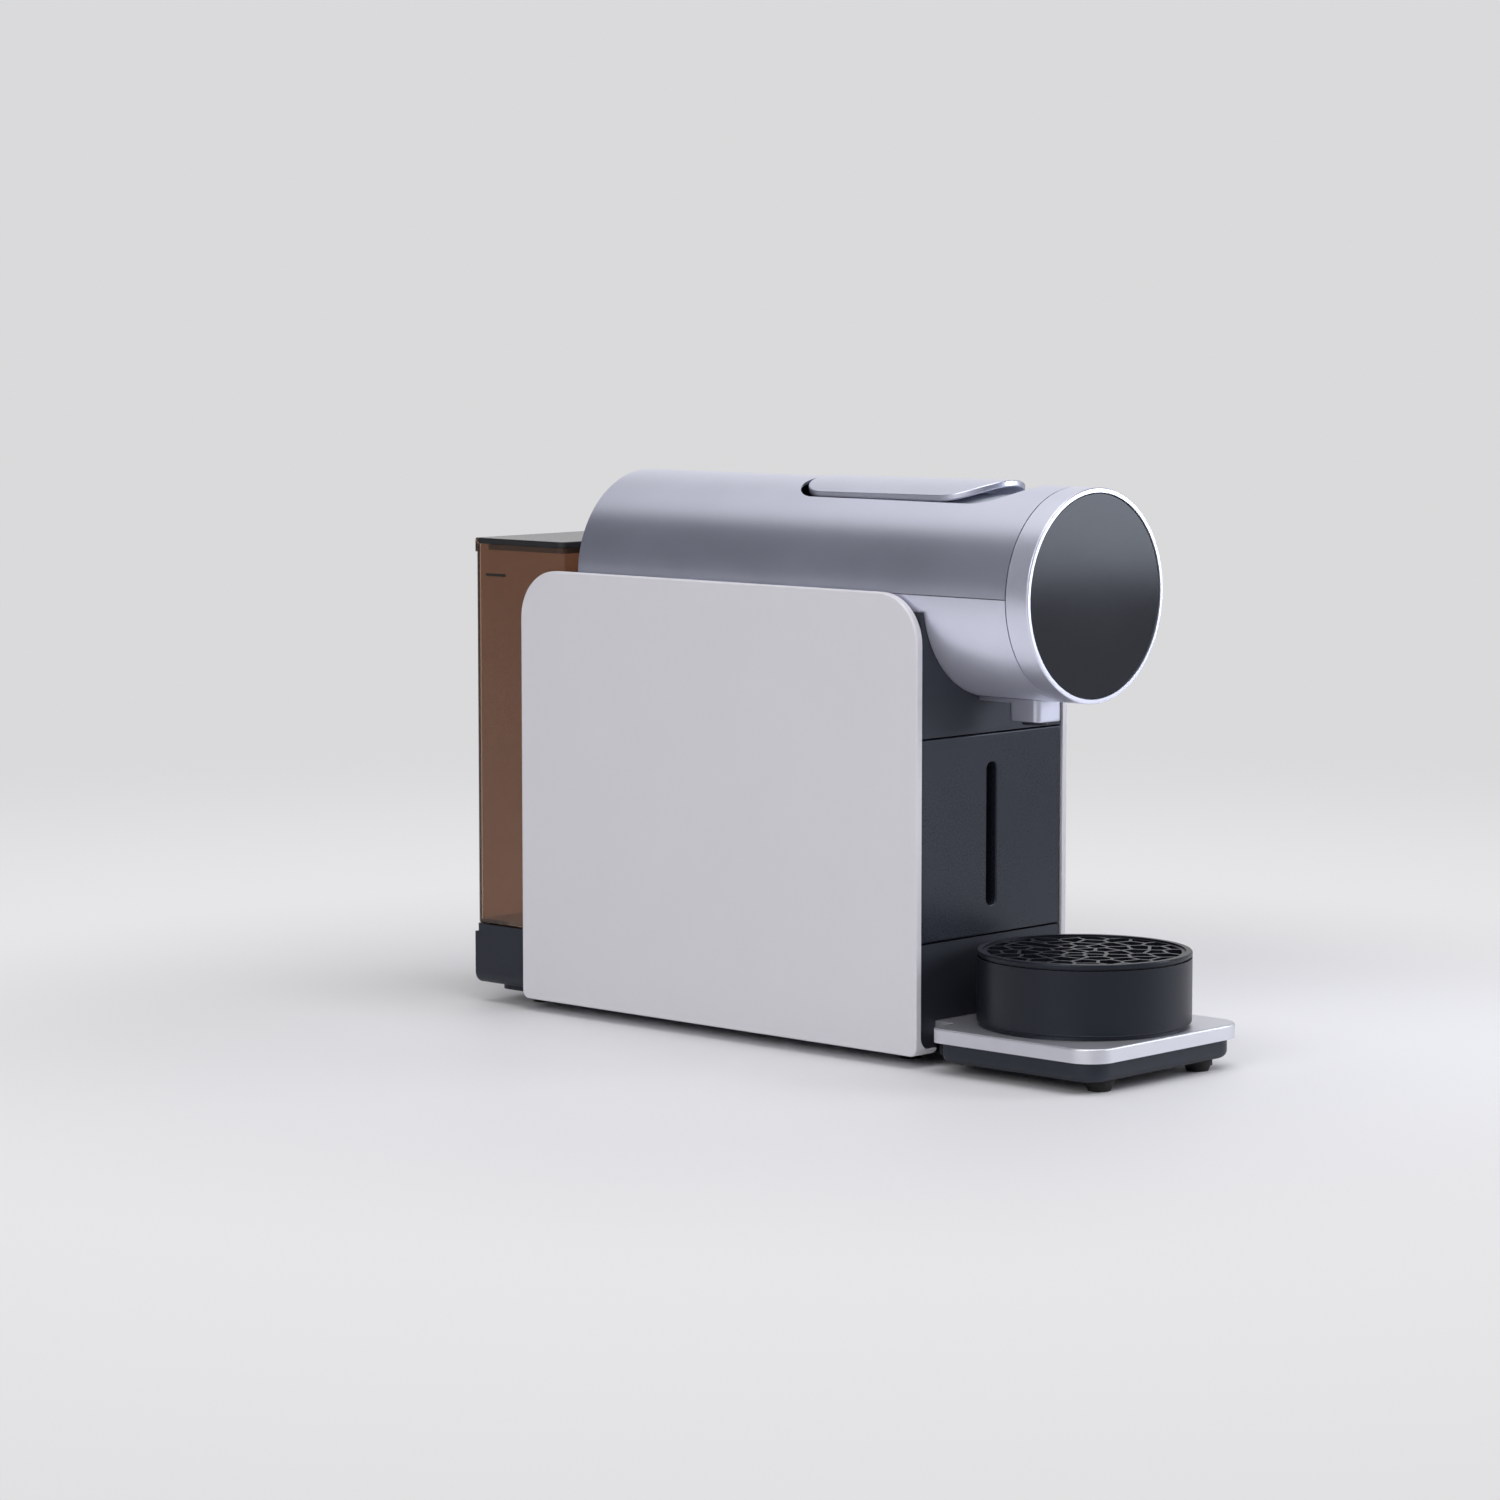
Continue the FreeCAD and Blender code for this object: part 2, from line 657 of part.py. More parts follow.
def grid_cell(seeds, i, radius):
    """The outline of one hole: nearer to its own point than to any other."""
    x, y = seeds[i]
    cell = rect(-radius, radius, -radius, radius)
    for j, (ox, oy) in enumerate(seeds):
        if j == i:
            continue
        dx, dy = ox - x, oy - y
        gap = math.hypot(dx, dy)
        nx, ny = dx / gap, dy / gap
        reach = gap / 2 - GRID_WEB / 2
        cell = clipped(cell, x + nx * reach, y + ny * reach, nx, ny)
    sides = 36
    for k in range(sides):
        nx, ny = math.cos(2 * math.pi * k / sides), math.sin(2 * math.pi * k / sides)
        cell = clipped(cell, nx * radius, ny * radius, nx, ny)
    return cell


def tidy_outline(cell, shortest):
    """Drops corners that stand too close to the one before."""
    kept = []
    for x, y in cell:
        if not kept or math.hypot(x - kept[-1][0], y - kept[-1][1]) > shortest:
            kept.append((x, y))
    if math.hypot(kept[0][0] - kept[-1][0], kept[0][1] - kept[-1][1]) <= shortest:
        kept.pop()
    return kept


def finger_slot(grow):
    """The long slot at the back of the grid by which it is lifted out."""
    half = FINGER_SLOT_WIDTH / 2 + grow
    front = TRAY_CENTRE_Y + FINGER_SLOT_SETBACK
    outline = rect(-half, half, front - grow, front + FINGER_SLOT_LENGTH + grow)
    return prism("z", TRAY_TOP_Z - 2, GRID_TOP_Z + 2, outline, half * 0.9)


def cup_grid():
    disc = rod("z", TRAY_TOP_Z + FIXED_GAP, GRID_TOP_Z, 0, TRAY_CENTRE_Y, TRAY_RADIUS)
    disc = softened(disc, GRID_THICKNESS / 4, lambda e: lies_at(e, "z", GRID_TOP_Z))
    shadow = tube("z", TRAY_TOP_Z, TRAY_TOP_Z + GRID_GROOVE, 0, TRAY_CENTRE_Y,
                  TRAY_RADIUS + 1, TRAY_RADIUS - GRID_GROOVE)
    disc = disc.cut(shadow)
    dish = rod("z", GRID_TOP_Z - GRID_DISH, GRID_TOP_Z + 1, 0, TRAY_CENTRE_Y, TRAY_RADIUS - GRID_LIP)
    disc = disc.cut([dish, finger_slot(0)])
    land = finger_slot(GRID_WEB)
    radius = TRAY_RADIUS - GRID_RIM
    seeds = grid_seeds(radius)
    holes = []
    for i in range(GRID_HOLES):
        cell = tidy_outline(grid_cell(seeds, i, radius), GRID_WEB / 2)
        if len(cell) < 3:
            continue
        moved = [(x, y + TRAY_CENTRE_Y) for x, y in cell]
        hole = prism("z", TRAY_TOP_Z - 1, GRID_TOP_Z + 1, moved).cut(land)
        holes.extend(s for s in hole.Solids if s.Volume > GRID_WEB ** 2 * GRID_THICKNESS * 2)
    outer = TRAY_RADIUS - TRAY_WALL - MOVING_GAP
    low = TRAY_TOP_Z - GRID_SKIRT
    skirt = tube("z", low, TRAY_TOP_Z + FIXED_GAP, 0, TRAY_CENTRE_Y, outer, outer - TRAY_WALL / 2)
    return disc.cut(holes).fuse(skirt)


# Side panels and the dark body


def side_panel():
    outline = rect(PANEL_FRONT_Y, PANEL_BACK_Y, PANEL_BOTTOM_Z, PANEL_TOP_Z)
    radii = [PANEL_FOOT_CORNER] * 2 + [PANEL_CORNER] * 2
    wall = prism("x", PANEL_INNER_X, PANEL_OUTER_X, outline, radii)
    wall = softened(wall, PANEL_EDGE, lambda e: lies_at(e, "x", PANEL_OUTER_X))
    lip_top = PANEL_BOTTOM_Z + PANEL_LIP_THICKNESS
    lip_edge = PANEL_INNER_X - PANEL_LIP
    cove_x, cove_z = PANEL_INNER_X - PANEL_COVE, lip_top + PANEL_COVE
    long = (PANEL_FRONT_Y, PANEL_BACK_Y)
    lip = block(lip_edge, PANEL_INNER_X, *long, PANEL_BOTTOM_Z, lip_top)
    cove = block(cove_x, PANEL_INNER_X, *long, lip_top, cove_z)
    cove = cove.cut(rod("y", long[0] - 1, long[1] + 1, cove_x, cove_z, PANEL_COVE))
    trim = prism("x", lip_edge - 1, PANEL_INNER_X, outline, radii)
    return wall.fuse(lip.fuse(cove).common(trim))


def base_tub():
    front = BODY_FRONT_Y + WALL + FIXED_GAP
    outline = rect(-TUB_HALF_WIDTH, TUB_HALF_WIDTH, TUB_BOTTOM_Z, TUB_TOP_Z)
    tub = prism("y", front, BACK_Y, outline, [PANEL_COVE, PANEL_COVE, 0, 0])
    inner = TUB_HALF_WIDTH - TUB_WALL
    room_outline = rect(-inner, inner, TUB_FLOOR_Z, TUB_TOP_Z + 1)
    tub = tub.cut(prism("y", front - 1, BACK_Y - TUB_WALL, room_outline, [TUB_BEND, TUB_BEND, 0, 0]))
    pan = rect(-PAN_HALF_WIDTH, PAN_HALF_WIDTH, front, BACK_Y - TUB_WALL)
    tub = tub.fuse(prism("z", FOOT_HEIGHT, TUB_FLOOR_Z, pan, [0, 0, PAN_CORNER, PAN_CORNER]))
    for y in (HEATER_FRONT_Y + POST_INSET, HEATER_BACK_Y - POST_INSET):
        post = rod("z", TUB_FLOOR_Z, HEATER_BOTTOM_Z, HEATER_HALF_WIDTH - POST_INSET, y, POST_RADIUS)
        tub = tub.fuse(both(post))
    boss_y = BODY_FRONT_Y + TONGUE_REACH - TONGUE_BOSS_INSET
    boss = rod("z", TUB_FLOOR_Z, PLATE_BOTTOM_Z, TONGUE_BOSS_X, boss_y, POST_RADIUS)
    return tub.fuse(both(boss)).cut(inlet_room())


def inlet_room():
    """The hole for the mains inlet in the back wall of the tub."""
    half = INLET_HALF_WIDTH - INLET_FLANGE + MOVING_GAP
    low = inlet_low() + INLET_FLANGE - MOVING_GAP
    high = inlet_low() + INLET_HEIGHT - INLET_FLANGE + MOVING_GAP
    return block(INLET_X - half, INLET_X + half, BACK_Y - TUB_WALL - 1, BACK_Y + 1, low, high)


def inlet_low():
    return (TUB_FLOOR_Z + TUB_TOP_Z - INLET_HEIGHT) / 2


def mains_inlet():
    low = inlet_low()
    half = INLET_HALF_WIDTH
    inner = half - INLET_FLANGE
    inner_low, inner_high = low + INLET_FLANGE, low + INLET_HEIGHT - INLET_FLANGE
    back = BACK_Y
    flange_front = back - INLET_WALL / 2
    body = block(INLET_X - inner, INLET_X + inner, back - INLET_DEPTH, flange_front, inner_low, inner_high)
    rim = rect(INLET_X - inner, INLET_X + inner, inner_low, inner_high)
    flange = prism("y", flange_front, back, rim, INLET_CORNER)
    room = rect(INLET_X - inner + INLET_WALL, INLET_X + inner - INLET_WALL,
                inner_low + INLET_WALL, inner_high - INLET_WALL)
    body = body.fuse(flange).cut(prism("y", back - INLET_DEPTH + INLET_WALL, back + 1, room, INLET_CORNER))
    mid = (inner_low + inner_high) / 2
    for k in (-1, 0, 1):
        x = INLET_X + k * INLET_PIN_PITCH
        body = body.fuse(rod("y", back - INLET_DEPTH, back - INLET_WALL, x, mid, INLET_PIN_RADIUS))
    return body


def inner_frame():
    front = BODY_FRONT_Y + WALL + FIXED_GAP
    outline = rect(front, REAR_WALL_FRONT_Y - FIXED_GAP, TUB_TOP_Z, FRAME_TOP_Z)
    frame = prism("x", FRAME_INNER_X, FRAME_INNER_X + TUB_WALL, outline)
    high = BIN_SEAM_Z + FRAME_HOLE_RISE
    cuts = [barrel_clear()]
    for i in range(1, FRAME_HOLES + 1):
        y = front + FRAME_HOLE_PITCH * i
        cuts.append(rod("x", FRAME_INNER_X - 1, PANEL_INNER_X, y, high, FRAME_HOLE_RADIUS))
    seat = BODY_FRONT_Y + BIN_FRONT_THICKNESS + MOVING_GAP
    cuts.append(block(0, PANEL_INNER_X, front - 1, seat, SHELF_TOP_Z, BIN_SEAM_Z))
    return frame.cut(cuts)


def rear_wall():
    half = FRAME_INNER_X - FIXED_GAP
    foot_outline = rect(-half, half, TUB_FLOOR_Z, TUB_TOP_Z)
    low = prism("y", REAR_WALL_FRONT_Y, REAR_WALL_BACK_Y, foot_outline, [TUB_BEND, TUB_BEND, 0, 0])
    outline = rect(-BODY_HALF_WIDTH, BODY_HALF_WIDTH, TUB_TOP_Z, PANEL_TOP_Z - SEAM)
    radii = [0, 0, REAR_WALL_CORNER, REAR_WALL_CORNER]
    high = prism("y", REAR_WALL_FRONT_Y, REAR_WALL_BACK_Y, outline, radii)
    hole_radius = HOSE_RADIUS + HOSE_CLEARANCE
    hole = rod("y", REAR_WALL_FRONT_Y - 1, REAR_WALL_BACK_Y + 1, 0, WATER_LINE_Z, hole_radius)
    return low.fuse(high).cut(hole)


def lower_front_wall():
    outline = rect(-BODY_HALF_WIDTH, BODY_HALF_WIDTH, TUB_BOTTOM_Z, SHELF_TOP_Z)
    wall = prism("y", BODY_FRONT_Y, BODY_FRONT_Y + WALL, outline, [PANEL_COVE, PANEL_COVE, 0, 0])
    half = TONGUE_HALF_WIDTH + FIXED_GAP
    notch_top = PLATE_TOP_Z + FIXED_GAP
    return wall.cut(block(-half, half, BODY_FRONT_Y - 1, BODY_FRONT_Y + WALL + 1, 0, notch_top))


def front_fascia():
    outline = rect(-BODY_HALF_WIDTH, BODY_HALF_WIDTH, BIN_SEAM_Z, FRAME_TOP_Z)
    wall = prism("y", BODY_FRONT_Y, BODY_FRONT_Y + WALL, outline)
    return wall.cut(barrel_clear())


def bin_shelf():
    half = FRAME_INNER_X - FIXED_GAP
    front = BODY_FRONT_Y + WALL + FIXED_GAP
    return block(-half, half, front, BIN_BACK_Y + SHELF_OVERHANG, SHELF_TOP_Z - WALL, SHELF_TOP_Z)


# Used-pod container


def pull_slot(depth):
    middle = (BIN_FRONT_BOTTOM_Z + BIN_FRONT_TOP_Z) / 2
    half = SLOT_WIDTH / 2
    outline = rect(-half, half, middle - SLOT_HEIGHT / 2, middle + SLOT_HEIGHT / 2)
    return prism("y", BODY_FRONT_Y - 1, BODY_FRONT_Y + depth, outline, half * 0.9)


def bin_front():
    outline = rect(-BODY_HALF_WIDTH, BODY_HALF_WIDTH, BIN_FRONT_BOTTOM_Z, BIN_FRONT_TOP_Z)
    plate = prism("y", BODY_FRONT_Y, BODY_FRONT_Y + BIN_FRONT_THICKNESS, outline)
    plate = softened(plate, SLOT_EDGE, lambda e: lies_at(e, "y", BODY_FRONT_Y))
    plate = plate.cut(pull_slot(BIN_FRONT_THICKNESS + 1))
    return softened(plate, SLOT_EDGE, lambda e: lies_at(e, "y", BODY_FRONT_Y)
                    and abs(e.BoundBox.Center.x) <= SLOT_WIDTH / 2 + 0.01
                    and e.BoundBox.XLength <= SLOT_WIDTH)


def pod_bin():
    front = BODY_FRONT_Y + BIN_FRONT_THICKNESS
    top = BIN_FRONT_TOP_Z - BIN_TOP_CLEARANCE
    outline = rect(-BIN_HALF_WIDTH, BIN_HALF_WIDTH, front, BIN_BACK_Y)
    tub = prism("z", BIN_BOTTOM_Z, top, outline, BIN_CORNER)
    inner = BIN_HALF_WIDTH - BIN_WALL
    room = rect(-inner, inner, front + BIN_WALL, BIN_BACK_Y - BIN_WALL)
    tub = tub.cut(prism("z", BIN_BOTTOM_Z + BIN_WALL, top + 1, room, BIN_CORNER - BIN_WALL))
    return tub.cut(pull_slot(BIN_FRONT_THICKNESS + BIN_WALL + 1))


# Barrel


def recess_plan(grow, low, high):
    """The rounded outline of the lever's recess, drawn upright."""
    half = LEVER_HALF_WIDTH + LEVER_GAP + grow
    outline = rect(-half, half, RECESS_FRONT_Y - grow, RECESS_BACK_Y + grow)
    radii = [RECESS_FRONT_CORNER + grow] * 2 + [LEVER_BACK_CORNER + grow] * 2
    return prism("z", low, high, outline, radii)


def barrel_upper():
    shell = barrel_rod(BARREL_FRONT_Y, BARREL_BACK_Y, BARREL_RADIUS)
    shell = shell.cut(barrel_rod(BARREL_FRONT_Y - 1, BARREL_BACK_Y + 1, BARREL_BORE))
    reach = BARREL_RADIUS + 1
    keep_low = BARREL_AXIS_Z + FIXED_GAP
    keep_high = BARREL_AXIS_Z + reach
    shell = shell.common(block(-reach, reach, BARREL_FRONT_Y - 1, BARREL_BACK_Y + 1, keep_low, keep_high))
    shell = shell.cut(recess_plan(0, BARREL_AXIS_Z, keep_high))
    under = recess_plan(RECESS_UNDERCUT, BARREL_AXIS_Z, keep_high)
    under = under.common(barrel_rod(BARREL_FRONT_Y, BARREL_BACK_Y, BARREL_RADIUS - RECESS_LIP))
    return shell.cut(under)


def barrel_lower():
    shell = barrel_rod(BARREL_FRONT_Y, BARREL_BACK_Y, BARREL_RADIUS)
    shell = shell.cut(barrel_rod(BARREL_FRONT_Y - 1, BARREL_BACK_Y + 1, BARREL_BORE))
    reach = BARREL_RADIUS + 1
    keep_low = BARREL_AXIS_Z - reach
    keep_high = BARREL_AXIS_Z - FIXED_GAP
    shell = shell.common(block(-reach, reach, BARREL_FRONT_Y - 1, BARREL_BACK_Y + 1, keep_low, keep_high))
    half = POD_SLOT_HALF_WIDTH + CHUTE_WALL
    drop = block(-half, half, HEAD_FACE_Y, CAGE_FRONT_Y + CARRIAGE_TRAVEL, keep_low, POD_AXIS_Z)
    spout_hole = rod("z", keep_low, POD_AXIS_Z, 0, SPOUT_Y, NOZZLE_RADIUS + HOSE_CLEARANCE)
    hose_half = HOSE_RADIUS + HOSE_HOLE_SPARE
    rise = hose_rise_y()
    hose_hole = block(-hose_half, hose_half, rise - hose_half, rise + hose_half, keep_low, POD_AXIS_Z)
    return shell.cut([drop, spout_hole, hose_hole])


def barrel_end_cap():
    back = BARREL_BACK_Y - END_CAP_INSET
    return barrel_rod(back - WALL, back, INNER_RADIUS)


def pod_chute():
    inner_half = POD_SLOT_HALF_WIDTH + CHUTE_WALL
    half = inner_half + CHUTE_WALL
    front, back = HEAD_FACE_Y, CAGE_FRONT_Y + CARRIAGE_TRAVEL
    low = BIN_FRONT_TOP_Z - BIN_TOP_CLEARANCE + CHUTE_GAP
    outer = block(-half, half, front - CHUTE_WALL, back + CHUTE_WALL, low, BARREL_AXIS_Z)
    inner = block(-inner_half, inner_half, front, back, low - 1, BARREL_AXIS_Z + 1)
    return outer.cut(inner).cut(barrel_clear())


def lever_well():
    """The dark liner under the lever, with the slot for the pod."""
    front = RECESS_FRONT_Y - RECESS_UNDERCUT
    half = LEVER_HALF_WIDTH + LEVER_GAP + RECESS_UNDERCUT + WELL_SEAT
    ring = barrel_rod(front, WELL_BACK_Y, INNER_RADIUS)
    ring = ring.cut(barrel_rod(front - 1, WELL_BACK_Y + 1, WELL_RADIUS - WELL_WALL))
    top = BARREL_AXIS_Z + BARREL_RADIUS
    ring = ring.common(block(-half, half, front, WELL_BACK_Y, BARREL_AXIS_Z, top))
    floor = barrel_rod(front - 1, WELL_BACK_Y + 1, INNER_RADIUS + 1)
    floor = floor.cut(barrel_rod(front - 2, WELL_BACK_Y + 2, WELL_RADIUS))
    ring = ring.cut(floor.common(recess_plan(0, BARREL_AXIS_Z, top)))
    slot_front, slot_back = HEAD_FACE_Y + POD_SLOT_LAND, CAGE_FRONT_Y + CARRIAGE_TRAVEL
    slot = rect(-POD_SLOT_HALF_WIDTH, POD_SLOT_HALF_WIDTH, slot_front, slot_back)
    return ring.cut(prism("z", BARREL_AXIS_Z, top, slot, POD_SLOT_CORNER))


# Spout


def spout_collar():
    half = SPOUT_WIDTH / 2
    outline = rect(-half, half, SPOUT_Y - half, SPOUT_Y + half)
    collar = prism("z", SPOUT_BOTTOM_Z, BARREL_AXIS_Z, outline, SPOUT_CORNER)
    collar = softened(collar, PLATE_EDGE, lambda e: lies_at(e, "z", SPOUT_BOTTOM_Z))
    low = BARREL_BOTTOM_Z - LIP_THICKNESS
    lip = block(-half, half, SPOUT_Y, BODY_FRONT_Y, low, BARREL_AXIS_Z)
    bore = rod("z", SPOUT_BOTTOM_Z - 1, BARREL_AXIS_Z + 1, 0, SPOUT_Y, NOZZLE_RADIUS + FIXED_GAP)
    return collar.fuse(lip).cut([barrel_clear(), bore])


def spout_nozzle():
    low = SPOUT_BOTTOM_Z - NOZZLE_DROP
    return tube("z", low, DUCT_BOTTOM_Z, 0, SPOUT_Y, NOZZLE_RADIUS, NOZZLE_BORE)


# Brew group


def brew_head():
    front = HEAD_FACE_Y - HEAD_THICKNESS
    plate = barrel_rod(front, HEAD_FACE_Y, INNER_RADIUS)
    reach = BARREL_RADIUS
    plate = plate.common(block(-reach, reach, front, HEAD_FACE_Y, 0, BARREL_AXIS_Z + BARREL_RADIUS / 2))
    duct_half = NOZZLE_RADIUS + DUCT_WALL
    duct_top = FEED_Z + DUCT_RISE
    duct = block(-duct_half, duct_half, SPOUT_Y - duct_half, front, DUCT_BOTTOM_Z, duct_top)
    head = plate.fuse(duct)
    flow = rod("y", SPOUT_Y - NOZZLE_BORE, HEAD_FACE_Y + 1, 0, FLOW_Z, FLOW_RADIUS)
    drop = rod("z", DUCT_BOTTOM_Z - 1, FLOW_Z, 0, SPOUT_Y, NOZZLE_BORE)
    holes = [rod("y", front - 1, HEAD_FACE_Y + 1, s * ROD_X, ROD_Z, ROD_RADIUS + PIN_GAP) for s in (-1, 1)]
    return head.cut([flow, drop] + holes)


def exit_plate():
    """A disc set with rows of small points that open the pod."""
    face = HEAD_FACE_Y
    radius = CAGE_BORE - EXIT_PLATE_INSET
    plate = rod("y", face, face + EXIT_PLATE_THICKNESS, 0, POD_AXIS_Z, radius)
    foot_y = face + EXIT_PLATE_THICKNESS - JOIN
    tall = EXIT_POINT_HEIGHT + JOIN
    middle = EXIT_ROWS // 2
    points = []
    for i in range(EXIT_ROWS):
        for j in range(EXIT_ROWS):
            x, z = (i - middle) * EXIT_PITCH, (j - middle) * EXIT_PITCH
            if math.hypot(x, z) < radius - EXIT_POINT_RADIUS:
                centre = V(x, foot_y, POD_AXIS_Z + z)
                points.append(Part.makeCone(EXIT_POINT_RADIUS, EXIT_POINT_TIP, tall, centre, V(0, 1, 0)))
    plate = plate.fuse(points)
    return plate.cut(rod("y", face - 1, foot_y + tall + 1, 0, FLOW_Z, NOZZLE_BORE / 2))


def pod_cage():
    back = CARRIAGE_FRONT_Y
    cage = rod("y", CAGE_FRONT_Y, back, 0, POD_AXIS_Z, CAGE_RADIUS)
    cage = cage.cut(rod("y", CAGE_FRONT_Y - 1, back - CAGE_FLOOR, 0, POD_AXIS_Z, CAGE_BORE))
    needles = []
    for k in range(NEEDLES):
        turn = math.pi / 2 + 2 * math.pi * k / NEEDLES
        x, z = NEEDLE_CIRCLE * math.cos(turn), POD_AXIS_Z + NEEDLE_CIRCLE * math.sin(turn)
        place = V(x, back - CAGE_FLOOR + JOIN, z)
        needles.append(Part.makeCone(NEEDLE_RADIUS, NEEDLE_TIP, NEEDLE_LENGTH, place, V(0, -1, 0)))
    bore = rod("y", back - CAGE_FLOOR - 1, back + 1, 0, FEED_Z, FEED_BORE)
    return cage.fuse(needles).cut(bore)


def brew_carriage():
    outline = rect(-CARRIAGE_HALF_WIDTH, CARRIAGE_HALF_WIDTH, ROD_Z - SLIDE_MARGIN, RACK_SEAT_Z)
    head = prism("y", CARRIAGE_FRONT_Y, CARRIAGE_BACK_Y, outline, CARRIAGE_CORNER)
    head = head.fuse(rod("y", CARRIAGE_FRONT_Y, CARRIAGE_BACK_Y, 0, POD_AXIS_Z, CAGE_RADIUS))
    seat_half = GEAR_HALF_WIDTH + RACK_SEAT_MARGIN
    seat = block(-seat_half, seat_half, CARRIAGE_FRONT_Y, CARRIAGE_BACK_Y, POD_AXIS_Z, RACK_SEAT_Z)
    head = head.cut(block(-CAGE_RADIUS, CAGE_RADIUS, CARRIAGE_FRONT_Y - 1, CARRIAGE_BACK_Y + 1,
                          RACK_SEAT_Z, BARREL_AXIS_Z + BARREL_RADIUS)).fuse(seat)
    boss = rod("y", CARRIAGE_FRONT_Y, BOSS_BACK_Y, 0, FEED_Z, BOSS_RADIUS)
    slides = [rod("y", CARRIAGE_FRONT_Y - 1, CARRIAGE_BACK_Y + 1, s * ROD_X, ROD_Z, ROD_RADIUS + PIN_GAP)
              for s in (-1, 1)]
    feed = rod("y", CARRIAGE_FRONT_Y + FEED_STOP, BOSS_BACK_Y + 1, 0, FEED_Z, FEED_RADIUS + PIN_GAP)
    inlet = rod("y", CARRIAGE_FRONT_Y - 1, CARRIAGE_FRONT_Y + FEED_STOP + 1, 0, FEED_Z, FEED_BORE)
    return head.fuse(boss).cut(slides + [feed, inlet])


def guide_rods():
    front, back = HEAD_FACE_Y - HEAD_THICKNESS, REAR_PLATE_Y + REAR_PLATE_THICKNESS
    return Part.makeCompound([rod("y", front, back, s * ROD_X, ROD_Z, ROD_RADIUS) for s in (-1, 1)])


def brew_rear_plate():
    back = REAR_PLATE_Y + REAR_PLATE_THICKNESS
    plate = barrel_rod(REAR_PLATE_Y, back, INNER_RADIUS)
    holes = [rod("y", REAR_PLATE_Y - 1, back + 1, s * ROD_X, ROD_Z, ROD_RADIUS + PIN_GAP) for s in (-1, 1)]
    holes.append(rod("y", REAR_PLATE_Y - 1, back + 1, 0, FEED_Z, FEED_RADIUS + PIN_GAP))
    high = BARREL_AXIS_Z + REAR_PLATE_HOLE_RISE
    holes.append(rod("y", REAR_PLATE_Y - 1, back + 1, 0, high, REAR_PLATE_HOLE))
    return plate.cut(holes)


def feed_pipe():
    return tube("y", FEED_FRONT_Y, FEED_BACK_Y, 0, FEED_Z, FEED_RADIUS, FEED_BORE)


def lever_bracket():
    front, back = PIVOT_Y - LEG_HALF_DEPTH, PIVOT_Y + LEG_HALF_DEPTH
    round_top = LEG_HALF_DEPTH * 0.95
    leg_outline = rect(front, back, BEAM_BOTTOM_Z, PIVOT_Z + LEG_HALF_DEPTH)
    leg = prism("x", LEG_INNER_X, LEG_INNER_X + LEG_THICKNESS, leg_outline, [0, 0, round_top, round_top])
    reach = ROD_X + GRIP_MARGIN
    beam = block(-reach, reach, front, back, BEAM_BOTTOM_Z, BEAM_TOP_Z)
    grip = block(ROD_X - GRIP_MARGIN, reach, front, back, ROD_Z - GRIP_MARGIN, BEAM_TOP_Z)
    bracket = beam.fuse([both(leg), both(grip)])
    holes = [rod("y", front - 1, back + 1, s * ROD_X, ROD_Z, ROD_RADIUS + PIN_GAP) for s in (-1, 1)]
    holes.append(rod("x", -reach, reach, PIVOT_Y, PIVOT_Z, SHAFT_RADIUS + PIN_GAP))
    holes.append(rod("x", -reach, reach, PIVOT_Y, IDLER_Z, IDLER_PIN_RADIUS + PIN_GAP))
    return bracket.cut(holes)


# Lever and its gears


def lever_section(y, rise):
    """The arch of the lever seen from the front, standing out of the barrel by the rise."""
    centre = BARREL_AXIS_Z + rise
    half = LEVER_HALF_WIDTH + 1

    def arch(r, sign):
        side = centre + math.sqrt(r * r - half * half)
        ends = V(-half * sign, y, side), V(half * sign, y, side)
        return Part.Arc(ends[0], V(0, y, centre + r), ends[1]).toShape(), ends

    outer, (left, right) = arch(BARREL_RADIUS, 1)
    inner, (low_right, low_left) = arch(BARREL_RADIUS - LEVER_THICKNESS, -1)
    sides = [Part.LineSegment(right, low_right).toShape(), Part.LineSegment(low_left, left).toShape()]
    return Part.Wire([outer, sides[0], inner, sides[1]])


def lever_strip():
    """The arched plate, round at its tip, which rises a little towards the tip."""
    back = lever_section(LEVER_BACK_Y, LEVER_REAR_RISE)
    tip = lever_section(LEVER_TIP_Y, LEVER_TIP_RISE)
    strip = Part.makeLoft([back, tip], True, True)
    outline = rect(-LEVER_HALF_WIDTH, LEVER_HALF_WIDTH, LEVER_TIP_Y, LEVER_BACK_Y)
    radii = [LEVER_TIP_CORNER] * 2 + [LEVER_BACK_CORNER] * 2
    strip = strip.common(prism("z", BARREL_AXIS_Z, BARREL_AXIS_Z + 2 * BARREL_RADIUS, outline, radii))
    top = max(strip.Faces, key=lambda f: f.CenterOfMass.z)
    return strip.makeFillet(LEVER_EDGE, top.Edges)


def lever():
    top = BARREL_AXIS_Z + BARREL_RADIUS + LEVER_REAR_RISE - LEVER_THICKNESS
    outline = [
        (PIVOT_Y - SHAFT_HUB, PIVOT_Z),
        (PIVOT_Y + SHAFT_HUB, PIVOT_Z),
        (PIVOT_Y + SHAFT_HUB + ARM_BACK, top),
        (PIVOT_Y - SHAFT_HUB - ARM_FRONT, top),
    ]
    web = prism("x", ARM_INNER_X, ARM_INNER_X + ARM_THICKNESS, outline)
    hub = rod("x", ARM_INNER_X, ARM_INNER_X + ARM_THICKNESS, PIVOT_Y, PIVOT_Z, SHAFT_HUB)
    arms = both(web.fuse(hub))
    bore = rod("x", -BARREL_RADIUS, BARREL_RADIUS, PIVOT_Y, PIVOT_Z, SHAFT_RADIUS + PIN_GAP)
    return lever_strip().fuse(arms).cut(bore)


